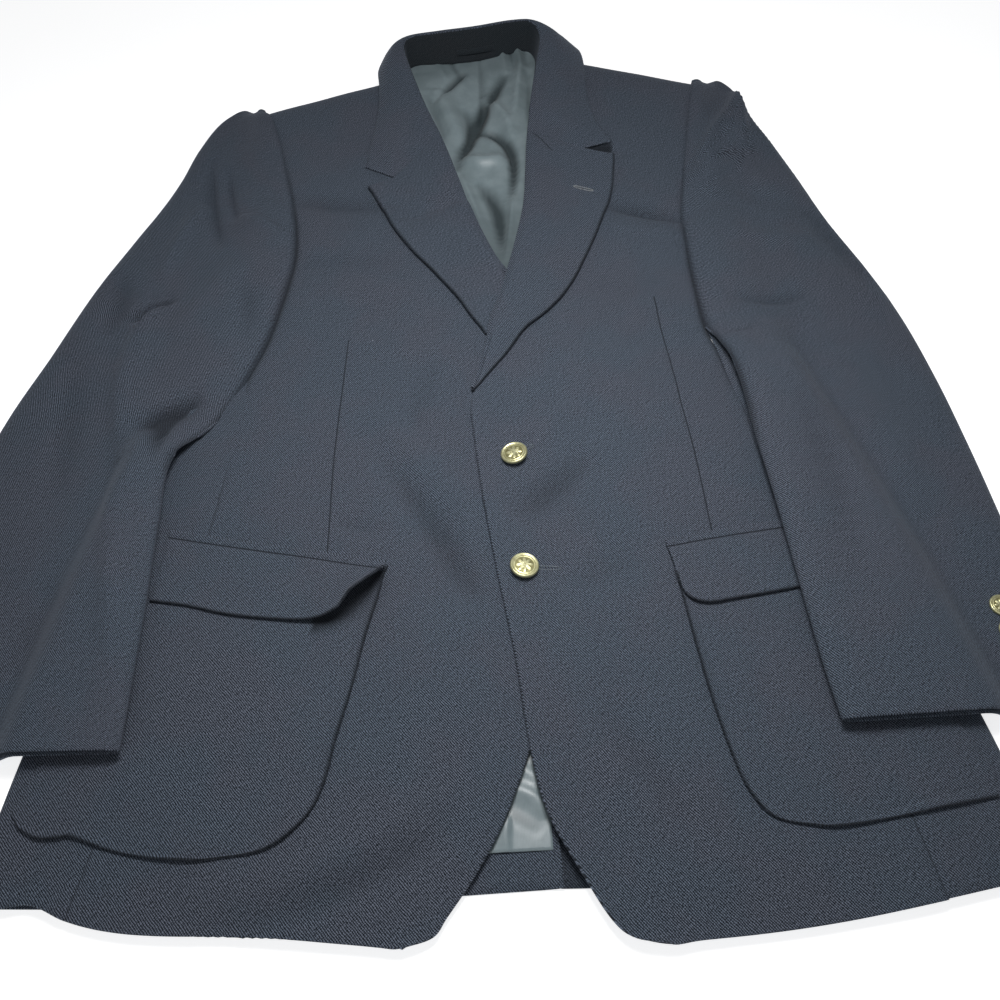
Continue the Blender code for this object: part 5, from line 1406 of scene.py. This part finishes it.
welt = cloth_piece("breast_welt_cloth", wool_look, np.dstack((along, y, rise)), WELT_THICKNESS)
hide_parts("breast_welt")


# Buttonholes
# The lapel's hole is worked with pale thread; the two front holes are worked with grey thread,
# and the end of each shows beside its button.
# Columns: name, start x, y, end x, y, thread colour
BUTTONHOLES = (
    ("lapel_buttonhole", 0.071, 0.629, 0.088, 0.62, (0.3, 0.32, 0.33, 1.0)),
    ("front_buttonhole_upper", 0.006, 0.337, 0.015, 0.34, (0.16, 0.19, 0.22, 1.0)),
    ("front_buttonhole_lower", 0.008, 0.236, 0.0275, 0.234, (0.16, 0.19, 0.22, 1.0)),
)
THREAD_RADIUS = 0.00042
HOLE_HALF_WIDTH = 0.0013
HOLE_STITCH = 0.0009


def thread_look(name, colour):
    """Buttonhole twist: matt thread with a slight change of tone from stitch to stitch."""
    made, tree, shader = new_look(name)
    place = node(tree, "ShaderNodeTexCoord").outputs["Object"]
    tone = node(tree, "ShaderNodeTexNoise", {"Vector": place, "Scale": 900.0}).outputs["Fac"]
    dark = tuple(0.55 * part for part in colour[:3]) + (1.0,)
    tree.links.new(blend(tree, ramp(tree, tone, 0.3, 0.7), dark, colour), shader.inputs["Base Color"])
    tree.links.new(ramp(tree, tone, 0.3, 0.7, 0.9, 0.6), shader.inputs["Roughness"])
    raise_surface(tree, shader, tone, 0.4, 0.0002)
    return made


def surface_under(piece):
    """Return a function that finds a piece's height under a garment position."""
    points = [vertex.co for vertex in piece.data.vertices]
    tree = BVHTree.FromPolygons(points, [tuple(face.vertices) for face in piece.data.polygons])
    down = Vector((0.0, 0.0, -1.0))

    def height(x, y):
        start = Vector((x - FOOTPRINT_CENTRE[0], y - FOOTPRINT_CENTRE[1], 0.2))
        return tree.ray_cast(start, down)[0].z

    return height


def tube_mesh(name, centre_line, radius, sides):
    """A closed loop of thread round a centre line, with a radius for each point."""
    count = len(centre_line)
    way = np.roll(centre_line, -1, axis=0) - np.roll(centre_line, 1, axis=0)
    way = way / np.linalg.norm(way, axis=1, keepdims=True)
    up = np.array((0.0, 0.0, 1.0)) - way * way[:, 2:3]
    up = up / np.linalg.norm(up, axis=1, keepdims=True)
    out = np.cross(way, up)
    turn = 2.0 * pi * np.arange(sides) / sides
    ring = out[:, None, :] * np.cos(turn)[None, :, None] + up[:, None, :] * np.sin(turn)[None, :, None]
    points = centre_line[:, None, :] + ring * np.asarray(radius)[:, None, None]
    number = np.arange(count * sides).reshape(count, sides)
    after = np.roll(number, -1, axis=0)
    beside = np.roll(number, -1, axis=1)
    corner = np.roll(after, -1, axis=1)
    faces = np.stack((number, beside, corner, after), axis=2).reshape(-1, 4)
    mesh = bpy.data.meshes.new(name)
    mesh.from_pydata((points.reshape(-1, 3) - FOOTPRINT_CENTRE).tolist(), [], faces.tolist())
    mesh.shade_smooth()
    return mesh


for name, x0, y0, x1, y1, colour in BUTTONHOLES:
    under = bpy.data.objects["lapel_cloth_right" if "lapel" in name else "front_cloth_right"]
    height = surface_under(under)
    start, end = np.array((x0, y0)), np.array((x1, y1))
    length = np.linalg.norm(end - start)
    way = (end - start) / length
    beside = np.array((-way[1], way[0]))
    turn = 2.0 * pi * np.arange(360) / 360
    reach = np.sign(np.cos(turn)) * np.abs(np.cos(turn)) ** 0.8 * length / 2.0
    spread = np.sign(np.sin(turn)) * np.abs(np.sin(turn)) ** 0.6 * HOLE_HALF_WIDTH
    plan = (start + end) / 2.0 + reach[:, None] * way + spread[:, None] * beside
    stitches = np.abs(np.sin(turn * length / HOLE_STITCH))
    radius = THREAD_RADIUS * (0.72 + 0.5 * stitches)
    line = np.array([(px, py, height(px, py) + THREAD_RADIUS * 0.4) for px, py in plan])
    hole = bpy.data.objects.new(name, tube_mesh(name, line, radius, 10))
    bpy.context.scene.collection.objects.link(hole)
    hole.data.materials.append(thread_look(name + "_thread", colour))
    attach(hole, "root")


# Buttons
# Pale gilt metal: two larger ones at the centre front and three smaller ones on each cuff.
# Each has a beaded rim, a flat ring and a domed middle stamped with a plain rosette.
# Columns: name, x, y, diameter, height, lean, direction of the lean, carrier
BUTTONS = (
    ("front_button_upper", 0.0, 0.332, 0.0205, 0.0032, 11.0, 135.0, "front_right"),
    ("front_button_lower", 0.002, 0.236, 0.0205, 0.0032, 9.0, 50.0, "front_right"),
    ("sleeve_button_left_1", -0.385, 0.151, 0.015, 0.0026, 0.0, 0.0, "top_sleeve_left"),
    ("sleeve_button_left_2", -0.385, 0.169, 0.015, 0.0026, 0.0, 0.0, "top_sleeve_left"),
    ("sleeve_button_left_3", -0.385, 0.187, 0.015, 0.0026, 0.0, 0.0, "top_sleeve_left"),
    ("sleeve_button_right_1", 0.319, 0.151, 0.015, 0.0026, 0.0, 0.0, "top_sleeve_right"),
    ("sleeve_button_right_2", 0.319, 0.169, 0.015, 0.0026, 0.0, 0.0, "top_sleeve_right"),
    ("sleeve_button_right_3", 0.319, 0.187, 0.015, 0.0026, 0.0, 0.0, "top_sleeve_right"),
)
BUTTON_RINGS = 34
BUTTON_SPOKES = 120
PETALS = 8
RIM_BEADS = 40
LEAN_LIFT = 0.43
GILT_DARK = (0.74, 0.70, 0.38, 1.0)
GILT_LIGHT = (0.88, 0.86, 0.54, 1.0)
GILT_HOLLOW = (0.44, 0.40, 0.18, 1.0)


def gilt_metal():
    """Pale gilt: brushed and slightly tarnished, darker in the hollows of the stamping."""
    made, tree, shader = new_look("pale_gilt")
    place = node(tree, "ShaderNodeTexCoord").outputs["Object"]
    cloud = node(tree, "ShaderNodeTexNoise", {"Vector": place, "Scale": 420.0, "Detail": 4.0})
    deep = mark_value(tree, "hollow")
    colour = blend(tree, ramp(tree, cloud.outputs["Fac"], 0.35, 0.65), GILT_DARK, GILT_LIGHT)
    colour = blend(tree, ramp(tree, deep, 0.1, 0.9), colour, GILT_HOLLOW)
    tree.links.new(colour, shader.inputs["Base Color"])
    tree.links.new(ramp(tree, cloud.outputs["Fac"], 0.3, 0.7, 0.30, 0.46), shader.inputs["Roughness"])
    fine = node(tree, "ShaderNodeTexNoise", {"Vector": place, "Scale": 2600.0, "Detail": 2.0})
    raise_surface(tree, shader, fine.outputs["Fac"], 0.35, 0.0001)
    shader.inputs["Metallic"].default_value = 0.85
    return made


gilt_look = gilt_metal()


def button_relief(reach, turn):
    """Face height as a share of the button's height, and how hollow the stamping is there."""
    dome = 0.84 + 0.10 * np.cos(np.clip(reach / 0.74, 0, 1) * pi / 2.0)
    petal = np.abs(np.cos(turn * PETALS / 2.0))
    leaf = smoothstep(0.0, 0.12, 0.30 + 0.34 * petal - reach) * smoothstep(0.06, 0.16, reach)
    vein = falloff(np.sin(turn * PETALS / 2.0), 0.12) * leaf
    boss = smoothstep(0.13, 0.07, reach)
    inner_ring = falloff(reach - 0.70, 0.022)
    beads = 0.5 + 0.5 * np.cos(turn * RIM_BEADS)
    rim = falloff(reach - 0.90, 0.060) * (0.70 + 0.30 * beads)
    field = dome * smoothstep(0.80, 0.74, reach) + 0.80 * smoothstep(0.74, 0.80, reach)
    height = field + 0.10 * leaf - 0.04 * vein + 0.09 * boss + 0.07 * inner_ring + 0.20 * rim
    hollow = (1.0 - leaf) * (1.0 - boss) * (1.0 - inner_ring) * smoothstep(0.72, 0.66, reach)
    hollow = np.maximum(hollow, falloff(reach - 0.77, 0.030))
    return height, 0.75 * hollow


def button_mesh(name, place, diameter, thick, axis):
    reach = np.linspace(0.0, 0.97, BUTTON_RINGS)[1:]
    turn = 2.0 * pi * np.arange(BUTTON_SPOKES) / BUTTON_SPOKES
    reach_grid, turn_grid = np.meshgrid(reach, turn, indexing="ij")
    height, hollow = button_relief(reach_grid, turn_grid)
    side_reach = np.array((1.00, 1.00, 0.97, 0.86))
    side_height = np.array((0.72, 0.35, 0.12, 0.0))
    reach = np.concatenate((reach_grid, np.tile(side_reach[:, None], (1, BUTTON_SPOKES))))
    height = np.concatenate((height, np.tile(side_height[:, None], (1, BUTTON_SPOKES))))
    hollow = np.concatenate((hollow, np.full((4, BUTTON_SPOKES), 0.3)))
    turn_grid = np.tile(turn[None, :], (len(reach), 1))
    axis = np.array(axis) / np.linalg.norm(axis)
    flat = np.cross(axis, (0.0, 1.0, 0.0))
    flat = flat / np.linalg.norm(flat)
    other = np.cross(axis, flat)
    radius = (reach * diameter / 2.0)[:, :, None]
    spoke = flat * np.cos(turn_grid)[:, :, None] + other * np.sin(turn_grid)[:, :, None]
    points = place + spoke * radius + axis * (height * thick)[:, :, None]
    rings, spokes = points.shape[:2]
    crown_height, _ = button_relief(np.array(0.0), np.array(0.0))
    crown = place + axis * float(crown_height) * thick
    number = np.arange(rings * spokes).reshape(rings, spokes)
    beside = np.roll(number, -1, axis=1)
    faces = np.stack((number[:-1], number[1:], beside[1:], beside[:-1]), axis=2).reshape(-1, 4)
    faces = faces.tolist()
    top = rings * spokes
    faces += [(top, int(a), int(b)) for a, b in zip(number[0], beside[0])]
    faces.append([int(k) for k in number[-1][::-1]])
    mesh = bpy.data.meshes.new(name)
    everything = np.concatenate((points.reshape(-1, 3), crown[None, :])) - FOOTPRINT_CENTRE
    mesh.from_pydata(everything.tolist(), [], faces)
    mark = mesh.attributes.new("hollow", "FLOAT", "POINT")
    mark.data.foreach_set("value", np.r_[hollow.ravel(), 0.0].astype(np.float32))
    mesh.shade_smooth()
    return mesh


for name, x, y, diameter, thick, lean, way, carrier in BUTTONS:
    word, side = carrier.rsplit("_", 1)
    height = surface_under(bpy.data.objects[word + "_cloth_" + side])
    reach = diameter / 2.0
    slope_x = (height(x + reach, y) - height(x - reach, y)) / diameter
    slope_y = (height(x, y + reach) - height(x, y - reach)) / diameter
    middle = height(x, y)
    proud = max(
        height(x + reach * cos(k * pi / 6), y + reach * sin(k * pi / 6))
        - (middle + slope_x * reach * cos(k * pi / 6) + slope_y * reach * sin(k * pi / 6))
        for k in range(12)
    )
    axis = (
        sin(radians(lean)) * cos(radians(way)) - slope_x,
        sin(radians(lean)) * sin(radians(way)) - slope_y,
        1.0,
    )
    seat = middle + max(proud, 0.0) + SEAM + sin(radians(lean)) * diameter * LEAN_LIFT
    mesh = button_mesh(name + "_gilt", np.array((x, y, seat)), diameter, thick, axis)
    button = bpy.data.objects.new(name + "_gilt", mesh)
    bpy.context.scene.collection.objects.link(button)
    mesh.materials.append(gilt_look)
    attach(button, "root")
    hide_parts(name)


# Table, light and camera
# A plain pale table, a small soft light overhead, a wider and weaker one on the hem's side, and
# the camera low over the hem, looking down at the garment.
TABLE_DARK = (0.86, 0.86, 0.86, 1.0)
TABLE_LIGHT = (0.90, 0.90, 0.90, 1.0)
TABLE_GLOW = 0.72
TABLE_HALF = 6
TABLE_BELOW = 0.0004
SKY_COLOUR = (0.93, 0.96, 1.0, 1.0)
SKY_STRENGTH = 0.18


def table_look():
    made, tree, shader = new_look("pale_table")
    place = node(tree, "ShaderNodeTexCoord").outputs["Object"]
    cloud = node(tree, "ShaderNodeTexNoise", {"Vector": place, "Scale": 3.0, "Detail": 3.0})
    colour = blend(tree, ramp(tree, cloud.outputs["Fac"], 0.3, 0.7), TABLE_DARK, TABLE_LIGHT)
    tree.links.new(colour, shader.inputs["Base Color"])
    shader.inputs["Roughness"].default_value = 0.9
    shader.inputs["Emission Color"].default_value = (1.0, 1.0, 1.0, 1.0)
    shader.inputs["Emission Strength"].default_value = TABLE_GLOW
    return made


floor_mesh = bpy.data.meshes.new("floor")
corners = [(a * TABLE_HALF, b * TABLE_HALF, 0) for a, b in ((-1, -1), (1, -1), (1, 1), (-1, 1))]
floor_mesh.from_pydata(corners, [], [(0, 1, 2, 3)])
floor = bpy.data.objects.new("floor", floor_mesh)
floor.location.z = -TABLE_BELOW
floor_mesh.materials.append(table_look())
bpy.context.scene.collection.objects.link(floor)

# Columns: name, x, y, z, target x, y, z, size, power
LIGHTS = (
    ("overhead_light", 0.06, -0.1, 0.6, 0.02, -0.12, 0.0, 0.2, 3.1),
    ("hem_light", -0.3, -1.1, 0.9, 0.0, -0.1, 0.0, 0.7, 1.3),
)
for name, x, y, z, to_x, to_y, to_z, size, power in LIGHTS:
    light = bpy.data.lights.new(name, "AREA")
    light.size = size
    light.energy = power
    lamp = bpy.data.objects.new(name, light)
    lamp.location = (x, y, z)
    away = Vector((x - to_x, y - to_y, z - to_z))
    lamp.rotation_euler = away.to_track_quat("Z", "Y").to_euler()
    bpy.context.scene.collection.objects.link(lamp)

world = bpy.data.worlds.new("studio")
world.use_nodes = True
sky = world.node_tree.nodes["Background"]
sky.inputs["Color"].default_value = SKY_COLOUR
sky.inputs["Strength"].default_value = SKY_STRENGTH
bpy.context.scene.world = world

CAMERA_PLACE = (0.0326, -0.4925, 0.545)
CAMERA_DOWN = radians(57.6)
CAMERA_YAW = radians(-1.0)
CAMERA_ROLL = radians(-4.0)
FOCAL_PIXELS = 850.0
PHOTO_WIDTH = 1000.0
SENSOR_MM = 36.0
camera_data = bpy.data.cameras.new("camera")
camera_data.sensor_width = SENSOR_MM
camera_data.lens = SENSOR_MM * FOCAL_PIXELS / PHOTO_WIDTH
camera = bpy.data.objects.new("camera", camera_data)
bpy.context.scene.collection.objects.link(camera)
forward = cos(CAMERA_DOWN)
ahead = Vector((sin(CAMERA_YAW) * forward, cos(CAMERA_YAW) * forward, -sin(CAMERA_DOWN)))
level = Vector((cos(CAMERA_YAW), -sin(CAMERA_YAW), 0.0))
upward = level.cross(ahead)
right_way = level * cos(CAMERA_ROLL) + upward * sin(CAMERA_ROLL)
up_way = upward * cos(CAMERA_ROLL) - level * sin(CAMERA_ROLL)
turned = Matrix((right_way, up_way, -ahead)).transposed().to_4x4()
camera.matrix_world = Matrix.Translation(CAMERA_PLACE) @ turned
bpy.context.scene.camera = camera
bpy.context.scene.view_settings.view_transform = "Standard"
